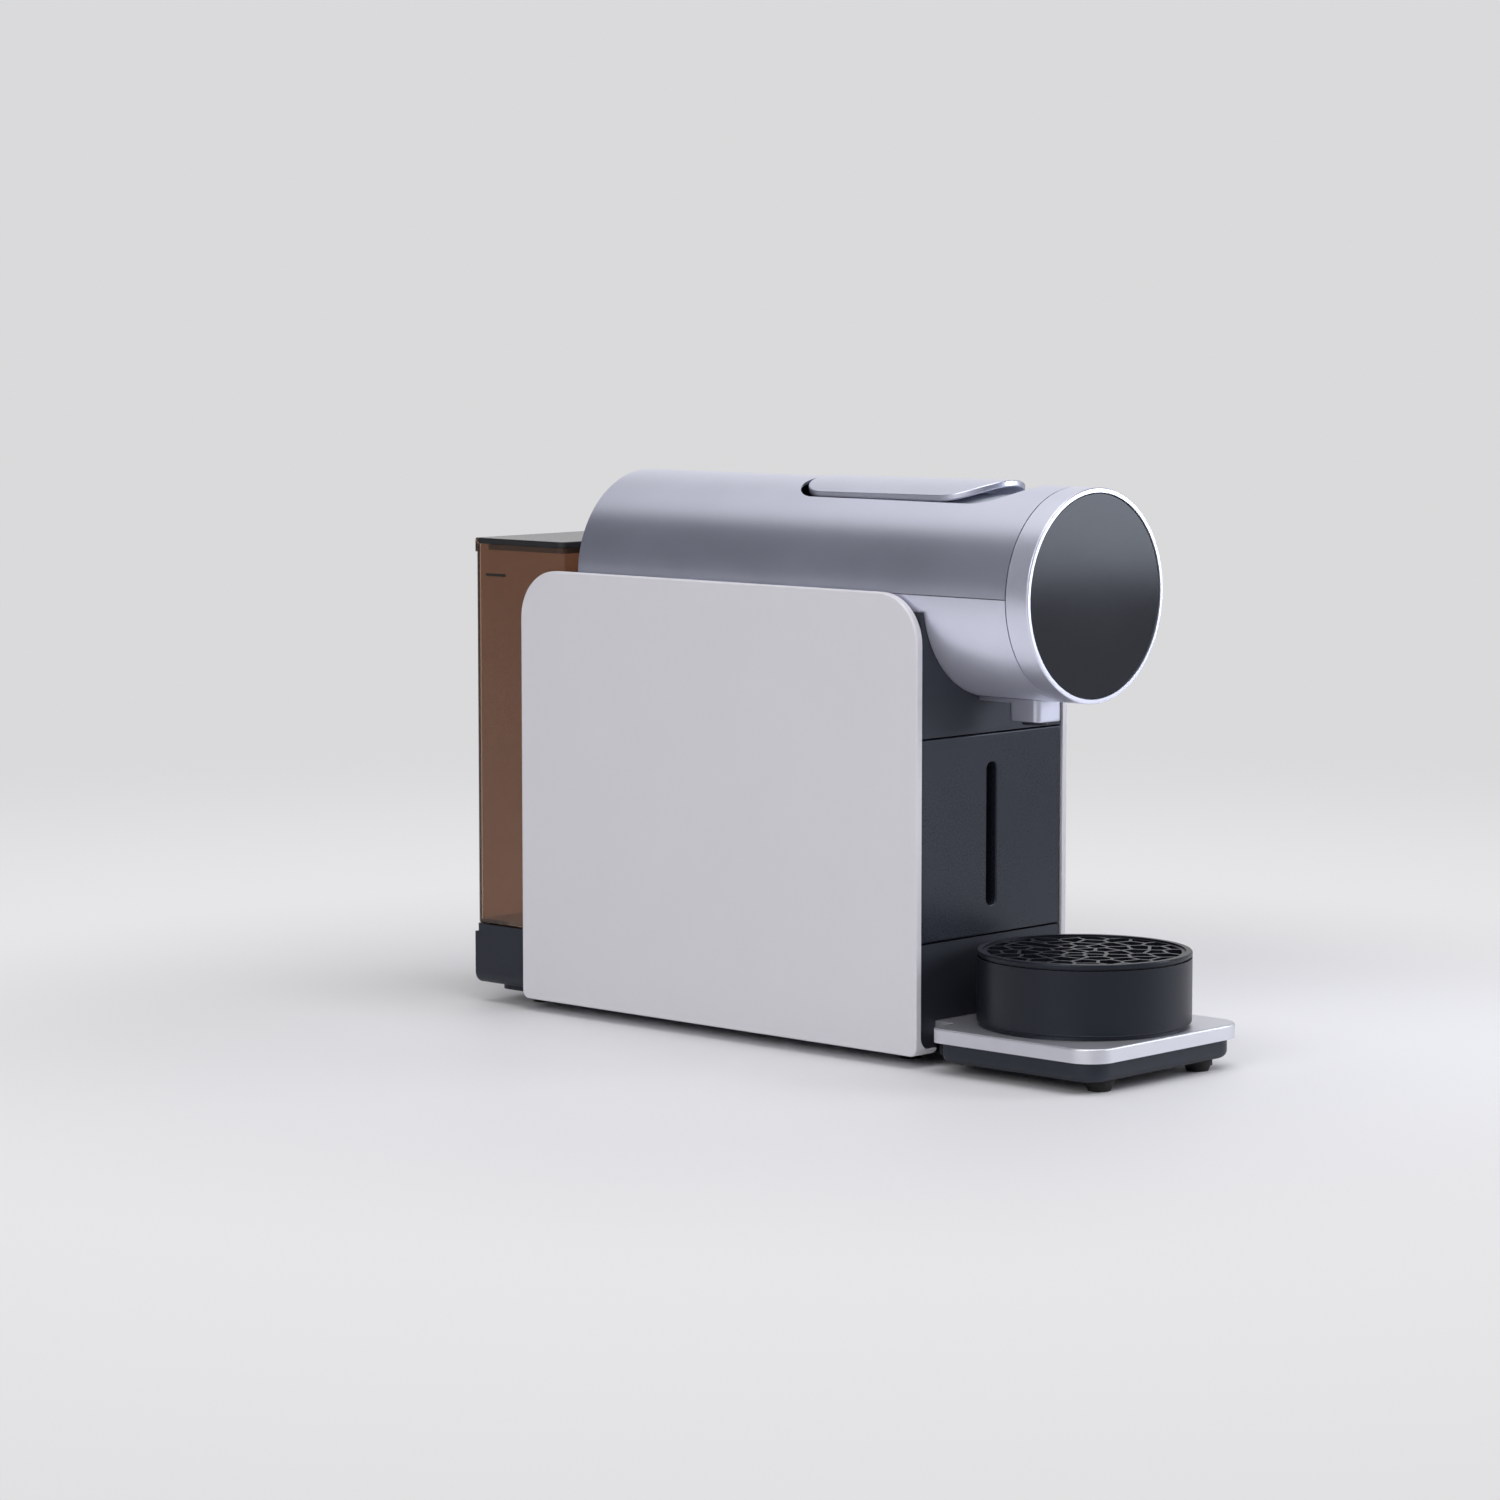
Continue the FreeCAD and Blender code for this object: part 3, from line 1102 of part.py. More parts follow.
def lever_shaft():
    reach = LEG_INNER_X + LEG_THICKNESS
    return rod("x", -reach, reach, PIVOT_Y, PIVOT_Z, SHAFT_RADIUS)


def gear_tooth(teeth, turn, place):
    """The edges of one tooth, from its root on one side to its root on the other."""
    radius = GEAR_MODULE * teeth / 2
    base = radius * math.cos(GEAR_ANGLE)
    root, tip = radius - TOOTH_BELOW, radius + TOOTH_ABOVE
    start = max(root, base)
    thick = math.pi / (2 * teeth) - GEAR_BACKLASH / (4 * radius)

    def lean(r):
        slope = math.acos(min(1.0, base / r))
        return thick + math.tan(GEAR_ANGLE) - GEAR_ANGLE - (math.tan(slope) - slope)

    def point(r, side):
        a = turn + side * lean(max(r, base))
        return place(r * math.cos(a), r * math.sin(a))

    edges = []
    middle = (start + tip) / 2
    crest = place(tip * math.cos(turn), tip * math.sin(turn))
    if start > root + 1e-6:
        edges.append(Part.LineSegment(point(root, -1), point(start, -1)).toShape())
    edges.append(Part.Arc(point(start, -1), point(middle, -1), point(tip, -1)).toShape())
    edges.append(Part.Arc(point(tip, -1), crest, point(tip, 1)).toShape())
    edges.append(Part.Arc(point(tip, 1), point(middle, 1), point(start, 1)).toShape())
    if start > root + 1e-6:
        edges.append(Part.LineSegment(point(start, 1), point(root, 1)).toShape())
    return edges, point(root, -1), point(root, 1)


def spur_gear(teeth, first, y, z):
    """A whole gear across the machine, with one tooth centred at a given angle."""

    def place(u, v):
        return V(-GEAR_HALF_WIDTH, y + u, z + v)

    edges = []
    last = None
    begin = None
    for k in range(teeth):
        tooth, enter, leave = gear_tooth(teeth, first + 2 * math.pi * k / teeth, place)
        if last is None:
            begin = enter
        else:
            edges.append(Part.LineSegment(last, enter).toShape())
        edges.extend(tooth)
        last = leave
    edges.append(Part.LineSegment(last, begin).toShape())
    return Part.Face(Part.Wire(edges)).extrude(V(2 * GEAR_HALF_WIDTH, 0, 0))


def sector_gear():
    """The part of a gear that the lever's swing uses, on a hub."""
    gear = spur_gear(SECTOR_TEETH, -math.pi / 2, PIVOT_Y, PIVOT_Z)
    reach = 3 * SECTOR_RADIUS
    turns = [-math.pi / 2 - SECTOR_SPARE, 0.0, LEVER_SWING - math.pi / 2 + SECTOR_SPARE]
    fan = [(PIVOT_Y, PIVOT_Z)]
    fan += [(PIVOT_Y + reach * math.cos(t), PIVOT_Z + reach * math.sin(t)) for t in turns]
    gear = gear.common(prism("x", -GEAR_HALF_WIDTH, GEAR_HALF_WIDTH, fan))
    gear = gear.fuse(rod("x", -GEAR_HALF_WIDTH, GEAR_HALF_WIDTH, PIVOT_Y, PIVOT_Z, SHAFT_HUB + 1))
    return gear.cut(rod("x", -reach, reach, PIVOT_Y, PIVOT_Z, SHAFT_RADIUS + PIN_GAP))


def idler_gear():
    gear = spur_gear(IDLER_TEETH, math.pi / 2 + math.pi / IDLER_TEETH, PIVOT_Y, IDLER_Z)
    reach = 2 * GEAR_HALF_WIDTH
    return gear.cut(rod("x", -reach, reach, PIVOT_Y, IDLER_Z, IDLER_PIN_RADIUS + PIN_GAP))


def idler_pin():
    reach = LEG_INNER_X + LEG_THICKNESS
    return rod("x", -reach, reach, PIVOT_Y, IDLER_Z, IDLER_PIN_RADIUS)


def drive_rack():
    back = PIVOT_Y + 2 * TOOTH_PITCH
    root = RACK_Z - TOOTH_BELOW
    tip = RACK_Z + TOOTH_ABOVE
    half = GEAR_HALF_WIDTH
    bar = block(-half, half, CARRIAGE_FRONT_Y, back, RACK_SEAT_Z, root)
    half_tooth = TOOTH_PITCH / 4 - GEAR_BACKLASH / 4
    slope = math.tan(GEAR_ANGLE)
    foot_half, tip_half = half_tooth + TOOTH_BELOW * slope, half_tooth - TOOTH_ABOVE * slope
    count = int(CARRIAGE_TRAVEL / TOOTH_PITCH) + 2
    teeth = []
    for k in range(-count, 2):
        y = PIVOT_Y + k * TOOTH_PITCH
        outline = [(y - foot_half, root), (y + foot_half, root), (y + tip_half, tip), (y - tip_half, tip)]
        teeth.append(prism("x", -half, half, outline))
    return bar.fuse(teeth)


# Dial and display


def dial_ring():
    ring = barrel_rod(RIM_Y, SEAM_Y, BARREL_RADIUS)
    ring = softened(ring, DIAL_EDGE, lambda e: lies_at(e, "y", RIM_Y))
    ring = ring.cut(barrel_rod(RIM_Y - 1, WEB_FRONT_Y, BARREL_RADIUS - DIAL_WALL))
    return ring.cut(barrel_rod(WEB_FRONT_Y - 1, SEAM_Y + 1, HUB_RADIUS + PIN_GAP))


def bulkhead():
    plate = barrel_rod(BULKHEAD_Y, BULKHEAD_Y + BULKHEAD_THICKNESS, INNER_RADIUS)
    hub = barrel_rod(HUB_FRONT_Y, BULKHEAD_Y + 1, HUB_RADIUS)
    bore = barrel_rod(HUB_FRONT_Y - 1, BULKHEAD_Y, HUB_RADIUS - HUB_WALL)
    return plate.fuse(hub).cut(bore)


def dial_retainer():
    ring = barrel_rod(RETAINER_FRONT_Y, RETAINER_FRONT_Y + RETAINER_THICKNESS, HUB_RADIUS + RETAINER_WIDTH)
    return ring.cut(barrel_rod(RETAINER_FRONT_Y - 1, WEB_FRONT_Y, HUB_RADIUS + PIN_GAP))


def display_lens():
    radius = BARREL_RADIUS - DIAL_WALL - LENS_GAP
    lens = barrel_rod(LENS_FRONT_Y, LENS_BACK_Y, radius)
    return softened(lens, LENS_EDGE, lambda e: lies_at(e, "y", LENS_FRONT_Y))


def display_carrier():
    radius = BARREL_RADIUS - DIAL_WALL - LENS_GAP
    plate = barrel_rod(LENS_BACK_Y, LENS_BACK_Y + CARRIER_PLATE, radius - CARRIER_INSET)
    outer = HUB_RADIUS - HUB_WALL - PIN_GAP
    stem_back = BULKHEAD_Y - PRESS_TRAVEL - MOVING_GAP
    stem = barrel_rod(LENS_BACK_Y, stem_back, outer)
    stem = stem.cut(barrel_rod(LENS_BACK_Y + CARRIER_PLATE, stem_back + 1, outer - CARRIER_WALL))
    return plate.fuse(stem)


def display_board():
    radius = HUB_RADIUS - HUB_WALL - DISPLAY_BOARD_GAP
    front = LENS_BACK_Y + CARRIER_PLATE
    near, far = front + DISPLAY_POST, front + DISPLAY_POST + BOARD_THICKNESS
    board = barrel_rod(near, far, radius)
    post = rod("y", front, near, 0, BARREL_AXIS_Z, DISPLAY_POST_RADIUS)
    low = BARREL_AXIS_Z - CHIP_DROP
    half = CHIP_WIDTH / 2
    chip = block(-half, half, far - JOIN, far + CHIP_HEIGHT, low, low + CHIP_WIDTH)
    return board.fuse([post, chip])


# Water tank


def tank_plan(inset, low, high):
    half = TANK_HALF_WIDTH - inset
    outline = rect(-half, half, TANK_FRONT_Y + inset, BACK_Y - inset)
    return prism("z", low, high, outline, TANK_CORNER - inset)


def lid_pin_place():
    return BACK_Y - LID_THICKNESS / 2, LID_TOP_Z - LID_THICKNESS / 2


def water_tank():
    tank = tank_plan(0, TANK_BOTTOM_Z, TANK_TOP_Z)
    tank = softened(tank, TANK_WALL / 2, lambda e: lies_at(e, "z", TANK_BOTTOM_Z))
    tank = tank.cut(tank_plan(TANK_WALL, TANK_BOTTOM_Z + TANK_WALL, TANK_TOP_Z + 1))
    socket = rod("z", TANK_BOTTOM_Z, VALVE_SEAT_Z, 0, TANK_MID_Y, VALVE_SOCKET_RADIUS + TANK_WALL)
    tank = tank.fuse(socket)
    room = rod("z", TANK_BOTTOM_Z - 1, VALVE_SOCKET_TOP_Z, 0, TANK_MID_Y, VALVE_SOCKET_RADIUS)
    hole = rod("z", TANK_BOTTOM_Z, VALVE_SEAT_Z + 1, 0, TANK_MID_Y, VALVE_HOLE_RADIUS)
    tank = tank.cut([room, hole])
    pin_y, pin_z = lid_pin_place()
    inner = TANK_HALF_WIDTH - LID_EAR_WIDTH
    ear_outline = rect(BACK_Y - LID_THICKNESS, BACK_Y, TANK_TOP_Z - LID_EAR_DROP, LID_TOP_Z)
    radii = [0, 0, LID_EAR_CORNER, LID_EAR_CORNER]
    ear = prism("x", inner, TANK_HALF_WIDTH - LID_EAR_INSET, ear_outline, radii)
    ear = ear.cut(rod("x", inner - 1, TANK_HALF_WIDTH + 1, pin_y, pin_z, LID_PIN_RADIUS + PIN_GAP))
    return tank.fuse(both(ear))


def tank_lid():
    low = LID_TOP_Z - LID_THICKNESS
    lid = tank_plan(0, low, LID_TOP_Z)
    pin_y, pin_z = lid_pin_place()
    inner = TANK_HALF_WIDTH - LID_EAR_WIDTH - MOVING_GAP
    lid = lid.cut(block(-BARREL_RADIUS * 2, BARREL_RADIUS * 2, pin_y, BACK_Y + 1, low - 1, LID_TOP_Z + 1))
    lid = softened(lid, LID_EDGE, lambda e: lies_at(e, "z", LID_TOP_Z) and e.BoundBox.YMin < pin_y - 0.01)
    notch_front = BACK_Y - LID_THICKNESS - MOVING_GAP
    notch = block(inner, TANK_HALF_WIDTH + 1, notch_front, BACK_Y + 1, low - 1, LID_TOP_Z + 1)
    lid = lid.cut(both(notch))
    lid = lid.fuse(rod("x", -inner, inner, pin_y, pin_z, LID_THICKNESS / 2))
    reach = TANK_HALF_WIDTH - LID_PIN_INSET
    lid = lid.fuse(rod("x", -reach, reach, pin_y, pin_z, LID_PIN_RADIUS))
    inset = TANK_WALL + MOVING_GAP
    deep = low - PLUG_DEPTH
    plug = tank_plan(inset, deep, low)
    plug = plug.cut(tank_plan(inset + PLUG_WALL, deep - 1, low + 1))
    half = TANK_HALF_WIDTH
    plug = plug.cut(block(-half, half, BACK_Y - PLUG_BACK_GAP, BACK_Y, deep - 1, low + 1))
    return lid.fuse(plug)


def valve_cage():
    top = VALVE_SEAT_Z + VALVE_CAGE_HEIGHT
    cage = tube("z", VALVE_SEAT_Z, top, 0, TANK_MID_Y, VALVE_CAGE_RADIUS, VALVE_CAGE_RADIUS - VALVE_CAGE_WALL)
    cage = cage.fuse(rod("z", top - VALVE_CAGE_ROOF, top, 0, TANK_MID_Y, VALVE_CAGE_RADIUS))
    reach = VALVE_CAGE_RADIUS + 1
    low, high = VALVE_SEAT_Z + VALVE_WINDOW_SILL, top - VALVE_CAGE_ROOF - VALVE_CAGE_WALL
    half = VALVE_WINDOW_HALF
    windows = [block(-reach, reach, TANK_MID_Y - half, TANK_MID_Y + half, low, high),
               block(-half, half, TANK_MID_Y - reach, TANK_MID_Y + reach, low, high)]
    return cage.cut(windows)


def valve_poppet():
    low = DOCK_TOP_Z + SPIGOT_HEIGHT + MOVING_GAP
    seat = VALVE_SEAT_Z + PIN_GAP
    stem = rod("z", low, seat + JOIN, 0, TANK_MID_Y, VALVE_STEM_RADIUS)
    head = rod("z", seat, seat + VALVE_HEAD_HEIGHT, 0, TANK_MID_Y, VALVE_HEAD_RADIUS)
    return stem.fuse(head)


def valve_spring():
    low = VALVE_SEAT_Z + PIN_GAP + VALVE_HEAD_HEIGHT + SPRING_WIRE
    high = VALVE_SEAT_Z + VALVE_CAGE_HEIGHT - VALVE_CAGE_ROOF - SPRING_WIRE
    steps = 8 * SPRING_TURNS

    def point(i):
        turn = i * math.pi / 4
        x, y = SPRING_RADIUS * math.cos(turn), SPRING_RADIUS * math.sin(turn)
        return V(x, TANK_MID_Y + y, low + (high - low) * i / steps)

    quarters = [Part.Arc(point(i), point(i + 1), point(i + 2)).toShape() for i in range(0, steps, 2)]
    along = quarters[0].tangentAt(quarters[0].FirstParameter)
    profile = Part.Wire(Part.makeCircle(SPRING_WIRE, point(0), along))
    return Part.Wire(quarters).makePipeShell([profile], True, False)


def tank_dock():
    front = REAR_WALL_BACK_Y + FIXED_GAP
    outline = rect(-TUB_HALF_WIDTH, TUB_HALF_WIDTH, front, BACK_Y)
    dock = prism("z", TUB_TOP_Z, DOCK_TOP_Z, outline, [0, 0, TANK_CORNER, TANK_CORNER])
    spigot = rod("z", DOCK_TOP_Z, DOCK_TOP_Z + SPIGOT_HEIGHT, 0, TANK_MID_Y, SPIGOT_RADIUS)
    low = WATER_LINE_Z - SPIGOT_RADIUS
    elbow = rod("z", low, TUB_TOP_Z, 0, TANK_MID_Y, SPIGOT_RADIUS)
    nipple = rod("y", METER_BACK_Y, TANK_MID_Y, 0, WATER_LINE_Z, PORT_RADIUS)
    bore = rod("z", WATER_LINE_Z, DOCK_TOP_Z + SPIGOT_HEIGHT + 1, 0, TANK_MID_Y, SPIGOT_BORE)
    flow = rod("y", METER_BACK_Y - 1, TANK_MID_Y, 0, WATER_LINE_Z, FEED_BORE)
    return dock.fuse([spigot, elbow, nipple]).cut([bore, flow])


# Heater, pump, hoses and boards


def heater_block():
    outline = rect(-HEATER_HALF_WIDTH, HEATER_HALF_WIDTH, HEATER_FRONT_Y, HEATER_BACK_Y)
    top = HEATER_BOTTOM_Z + HEATER_HEIGHT
    body = prism("z", HEATER_BOTTOM_Z, top, outline, HEATER_CORNER)
    step = HEATER_HEIGHT / (HEATER_RIBS + 1)
    for k in range(1, HEATER_RIBS + 1):
        z = HEATER_BOTTOM_Z + k * step
        for x in (-HEATER_HALF_WIDTH, HEATER_HALF_WIDTH):
            body = body.cut(rod("y", HEATER_FRONT_Y - 1, HEATER_BACK_Y + 1, x, z, HEATER_GROOVE))
    inlet = rod("z", HEATER_BOTTOM_Z - PORT_LENGTH, HEATER_BOTTOM_Z + 1, 0, HEATER_MID_Y, PORT_RADIUS)
    outlet = rod("y", HEATER_BACK_Y - 1, HEATER_BACK_Y + PORT_LENGTH, 0, heater_out_z(), PORT_RADIUS)
    return body.fuse([inlet, outlet])


def heater_out_z():
    return HEATER_BOTTOM_Z + HEATER_OUT_RISE


def hose_rise_y():
    return HEATER_BACK_Y + PORT_LENGTH + HOSE_BEND + HOSE_RUN


def pump():
    front, back = PUMP_FRONT_Y, PUMP_BACK_Y
    body = rod("y", front, back, 0, WATER_LINE_Z, PUMP_RADIUS)
    length = (back - front) * COIL_SHARE
    start = (front + back - length) / 2
    half = COIL_HALF_WIDTH
    outline = rect(-half, half, WATER_LINE_Z - half + COIL_FLAT, WATER_LINE_Z + half)
    coil = prism("y", start, start + length, outline, COIL_CORNER)
    ports = [rod("y", front - PORT_LENGTH, front + 1, 0, WATER_LINE_Z, PORT_RADIUS),
             rod("y", back - 1, back + PORT_LENGTH / 2, 0, WATER_LINE_Z, PORT_RADIUS)]
    return body.fuse([coil] + ports)


def pump_mounts():
    half = MOUNT_HALF_WIDTH
    mounts = []
    for start in (PUMP_FRONT_Y + MOUNT_INSET, PUMP_BACK_Y - MOUNT_INSET - MOUNT_THICKNESS):
        mount = block(-half, half, start, start + MOUNT_THICKNESS, TUB_FLOOR_Z, WATER_LINE_Z + MOUNT_RISE)
        clear = rod("y", start - 1, start + MOUNT_THICKNESS + 1, 0, WATER_LINE_Z, PUMP_RADIUS + PIN_GAP)
        mounts.extend(mount.cut(clear).Solids)
    return Part.makeCompound(mounts)


def flow_meter():
    body = rod("y", METER_FRONT_Y, METER_BACK_Y, 0, WATER_LINE_Z, METER_RADIUS)
    foot_half = METER_FOOT_HALF
    stand = block(-foot_half, foot_half, METER_FRONT_Y, METER_BACK_Y, TUB_FLOOR_Z, WATER_LINE_Z)
    nipple = rod("y", METER_FRONT_Y - PORT_LENGTH / 2, METER_FRONT_Y + 1, 0, WATER_LINE_Z, PORT_RADIUS)
    return body.fuse([stand, nipple])


def hose(points):
    """A hose along straight runs joined by round bends, around the ports at its ends."""
    stops = [points[0]]
    edges = []
    for i in range(1, len(points) - 1):
        here = points[i]
        before, after = points[i - 1] - here, points[i + 1] - here
        before.normalize()
        after.normalize()
        enter, leave = here + before * HOSE_BEND, here + after * HOSE_BEND
        bulge = before + after
        bulge.normalize()
        middle = here + bulge * (HOSE_BEND * (math.sqrt(2) - 1))
        edges.append(Part.LineSegment(stops[-1], enter).toShape())
        edges.append(Part.Arc(enter, middle, leave).toShape())
        stops.append(leave)
    edges.append(Part.LineSegment(stops[-1], points[-1]).toShape())
    along = points[1] - points[0]
    path = Part.Wire(edges)

    def swept(radius):
        return path.makePipeShell([Part.Wire(Part.makeCircle(radius, points[0], along))], True, False)

    return swept(HOSE_RADIUS).cut(swept(PORT_RADIUS + PIN_GAP))


def water_hoses():
    supply = hose([
        V(0, METER_FRONT_Y - PORT_LENGTH / 2, WATER_LINE_Z),
        V(0, PUMP_BACK_Y, WATER_LINE_Z),
    ])
    pressure = hose([
        V(0, PUMP_FRONT_Y, WATER_LINE_Z),
        V(0, HEATER_MID_Y, WATER_LINE_Z),
        V(0, HEATER_MID_Y, HEATER_BOTTOM_Z),
    ])
    rise = hose_rise_y()
    brew = hose([
        V(0, HEATER_BACK_Y, heater_out_z()),
        V(0, rise, heater_out_z()),
        V(0, rise, FEED_Z),
        V(0, FEED_BACK_Y - PORT_LENGTH, FEED_Z),
    ])
    return Part.makeCompound([supply, pressure, brew])


def control_board():
    outer = FRAME_INNER_X - BOARD_GAP
    inner = outer - BOARD_THICKNESS
    low, top = BOARD_BOTTOM_Z, BOARD_BOTTOM_Z + BOARD_HEIGHT
    board = block(inner, outer, BOARD_FRONT_Y, BOARD_BACK_Y, low, top)
    pieces = []
    for y in (BOARD_FRONT_Y + BOARD_POST_INSET, BOARD_BACK_Y - BOARD_POST_INSET):
        for z in (low + BOARD_POST_INSET, top - BOARD_POST_INSET):
            pieces.append(rod("x", outer - JOIN, FRAME_INNER_X, y, z, BOARD_POST_RADIUS))
    relay_low = low + RELAY_LOW
    for k in range(RELAYS):
        y = BOARD_FRONT_Y + RELAY_INSET + k * BOARD_LENGTH / (RELAYS + 1)
        side = (inner - RELAY_DEPTH, inner + JOIN)
        pieces.append(block(*side, y, y + RELAY_LENGTH, relay_low, relay_low + RELAY_HEIGHT))
        can_y = y + RELAY_LENGTH / 2
        pieces.append(rod("x", inner - CAN_DEPTH, inner + JOIN, can_y, top - CAN_DROP, CAN_RADIUS))
    return board.fuse(pieces)


PIECES = {
    "rubber_feet": rubber_feet,
    "base_screws": base_screws,
    "stand_base": stand_base,
    "cup_plate": cup_plate,
    "tray_pad": tray_pad,
    "drip_tray": drip_tray,
    "cup_grid": cup_grid,
    "left_side_panel": lambda: mirrored(side_panel()),
    "right_side_panel": side_panel,
    "base_tub": base_tub,
    "mains_inlet": mains_inlet,
    "left_frame": lambda: mirrored(inner_frame()),
    "right_frame": inner_frame,
    "rear_wall": rear_wall,
    "lower_front_wall": lower_front_wall,
    "front_fascia": front_fascia,
    "bin_shelf": bin_shelf,
    "bin_front": bin_front,
    "pod_bin": pod_bin,
    "barrel_upper": barrel_upper,
    "barrel_lower": barrel_lower,
    "barrel_end_cap": barrel_end_cap,
    "pod_chute": pod_chute,
    "lever_well": lever_well,
    "spout_collar": spout_collar,
    "spout_nozzle": spout_nozzle,
    "brew_head": brew_head,
    "exit_plate": exit_plate,
    "pod_cage": pod_cage,
    "brew_carriage": brew_carriage,
    "guide_rods": guide_rods,
    "brew_rear_plate": brew_rear_plate,
    "feed_pipe": feed_pipe,
    "lever_bracket": lever_bracket,
    "lever": lever,
    "lever_shaft": lever_shaft,
    "sector_gear": sector_gear,
    "idler_gear": idler_gear,
    "idler_pin": idler_pin,
    "drive_rack": drive_rack,
    "dial_ring": dial_ring,
    "bulkhead": bulkhead,
    "dial_retainer": dial_retainer,
    "display_lens": display_lens,
    "display_carrier": display_carrier,
    "display_board": display_board,
    "water_tank": water_tank,
    "tank_lid": tank_lid,
    "valve_cage": valve_cage,
    "valve_poppet": valve_poppet,
    "valve_spring": valve_spring,
    "tank_dock": tank_dock,
    "heater_block": heater_block,
    "pump": pump,
    "pump_mounts": pump_mounts,
    "flow_meter": flow_meter,
    "water_hoses": water_hoses,
    "control_board": control_board,
}

os.makedirs("parts", exist_ok=True)
for name, make in PIECES.items():
    save(name, make())
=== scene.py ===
import json

import bmesh
import bpy
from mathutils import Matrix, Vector


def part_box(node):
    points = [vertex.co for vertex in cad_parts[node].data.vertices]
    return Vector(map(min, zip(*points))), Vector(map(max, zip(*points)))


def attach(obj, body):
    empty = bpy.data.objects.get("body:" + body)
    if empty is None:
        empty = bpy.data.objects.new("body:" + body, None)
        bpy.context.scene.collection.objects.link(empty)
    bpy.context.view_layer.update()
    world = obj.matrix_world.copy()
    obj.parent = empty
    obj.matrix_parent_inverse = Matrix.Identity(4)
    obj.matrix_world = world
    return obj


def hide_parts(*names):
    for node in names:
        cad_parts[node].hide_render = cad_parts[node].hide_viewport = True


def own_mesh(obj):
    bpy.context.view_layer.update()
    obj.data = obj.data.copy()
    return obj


bl_info = {
    "name": "Pod coffee machine looks",
    "version": (1, 0, 0),
    "blender": (4, 5, 0),
    "location": "3D View > Sidebar > Coffee",
    "description": "Finishes, small marks and a studio for the pod coffee machine",
    "category": "Object",
}

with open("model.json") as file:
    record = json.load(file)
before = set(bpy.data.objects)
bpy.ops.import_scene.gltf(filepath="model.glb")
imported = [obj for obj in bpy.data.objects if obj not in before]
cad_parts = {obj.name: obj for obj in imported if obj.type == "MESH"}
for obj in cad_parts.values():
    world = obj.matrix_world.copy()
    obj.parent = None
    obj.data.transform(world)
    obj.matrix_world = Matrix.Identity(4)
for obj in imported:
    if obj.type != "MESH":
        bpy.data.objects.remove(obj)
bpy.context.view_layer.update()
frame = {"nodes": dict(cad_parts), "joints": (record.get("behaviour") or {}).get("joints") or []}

# how far printed ink and paper stand out of the surface they lie on
INK = 0.00015

# share of the tank's depth, from its front, at which the level mark stands
MARK_PLACE = 0.75

# grain of each finish: lumps in a metre, and their depth
GRAIN = {
    "anodised": (1800.0, 0.00003),
    "plate": (1500.0, 0.00004),
    "panel": (1400.0, 0.00005),
    "body": (1100.0, 0.00008),
    "front": (1100.0, 0.00006),
    "tray": (1300.0, 0.00004),
    "display": (400.0, 0.00001),
    "carrier": (900.0, 0.00006),
    "lid": (1200.0, 0.00003),
    "white": (900.0, 0.00005),
    "ink": (900.0, 0.00002),
    "paper": (700.0, 0.00003),
    "rubber": (700.0, 0.0001),
    "cast": (600.0, 0.0001),
    "moulding": (900.0, 0.00008),
    "silicone": (800.0, 0.00006),
    "board": (700.0, 0.00005),
}
GRAIN_DETAIL = 3.0
GRAIN_BUMP = 0.25

# the faint cloud in every grained finish, and how far it shifts the colour
CLOUD_LUMPS = 26.0
CLOUD_SPREAD = 0.05

# lines that the tool leaves in metal, and their darkest and palest colour
LINES = 120.0
LINES_DETAIL = 3.0
LINES_STRETCH = (1, 14, 1)
LINES_DARK, LINES_PALE = 0.93, 1.05
LINES_BUMP = 0.15
LINES_DEPTH = 0.00004

# the flow in clear plastic, and its darkest and palest colour
FLOW_LUMPS = 18.0
FLOW_STRETCH = (1, 1, 0.3)
FLOW_DARK, FLOW_PALE = 0.94, 1.05
FLOW_BUMP = 0.05
FLOW_DEPTH = 0.0003

# how far grain, cloud, lines and flow shift the roughness
GRAIN_SHEEN = 0.08
CLOUD_SHEEN = 0.05
LINES_SHEEN = 0.16
FLOW_SHEEN = 0.05

# the value about which noise lies
EVEN = 0.5

# dark plastic with a cool sheen, its smoother faces, and the display's dark glass
COOL = {"Specular Tint": (0.78, 0.86, 1.0, 1.0)}
COOL_SOFT = {"Specular IOR Level": 0.4, **COOL}
COOL_GLASS = {"Specular IOR Level": 0.33, "Specular Tint": (0.9, 0.94, 1.0, 1.0)}

# the tank's clear plastic, and the hoses' milky silicone
CLEAR = {"IOR": 1.45, "Transmission Weight": 0.92}
MILKY = {"Subsurface Weight": 0.1}

# silver pieces: finish, share of metal, roughness and brightness against the shell's, nodes
SILVER = (
    ("anodised_shell", 1.0, 1.0, 1.0, ("barrel_upper", "barrel_end_cap")),
    ("painted_shell", 0.7, 1.0, 1.0, ("barrel_lower",)),
    ("anodised_lever", 1.0, 0.9, 1.0, ("lever",)),
    ("painted_dial", 0.75, 0.9, 1.0, ("dial_ring",)),
    # the spout's silver is darkened to 0.74 of the shell's as painted shade, dulling the lamp's
    # bright reflection on it
    ("anodised_spout_painted_shade", 1.0, 1.15, 0.74, ("spout_collar",)),
)
PLATE_SHEEN = 1.3

# colours of the pieces that a user leaves alone
RUBBER = (0.018, 0.018, 0.018)
PAPER = (0.62, 0.62, 0.6)
MARK = (0.012, 0.01, 0.008)
VALVE_WHITE = (0.7, 0.7, 0.68)
METER_WHITE = (0.7, 0.7, 0.67)
STEEL = (0.58, 0.57, 0.56)
BRASS = (0.72, 0.53, 0.25)
ALLOY = (0.48, 0.48, 0.49)
MOULDING = (0.03, 0.03, 0.033)
SILICONE = (0.68, 0.68, 0.65)
BOARD = (0.02, 0.11, 0.05)

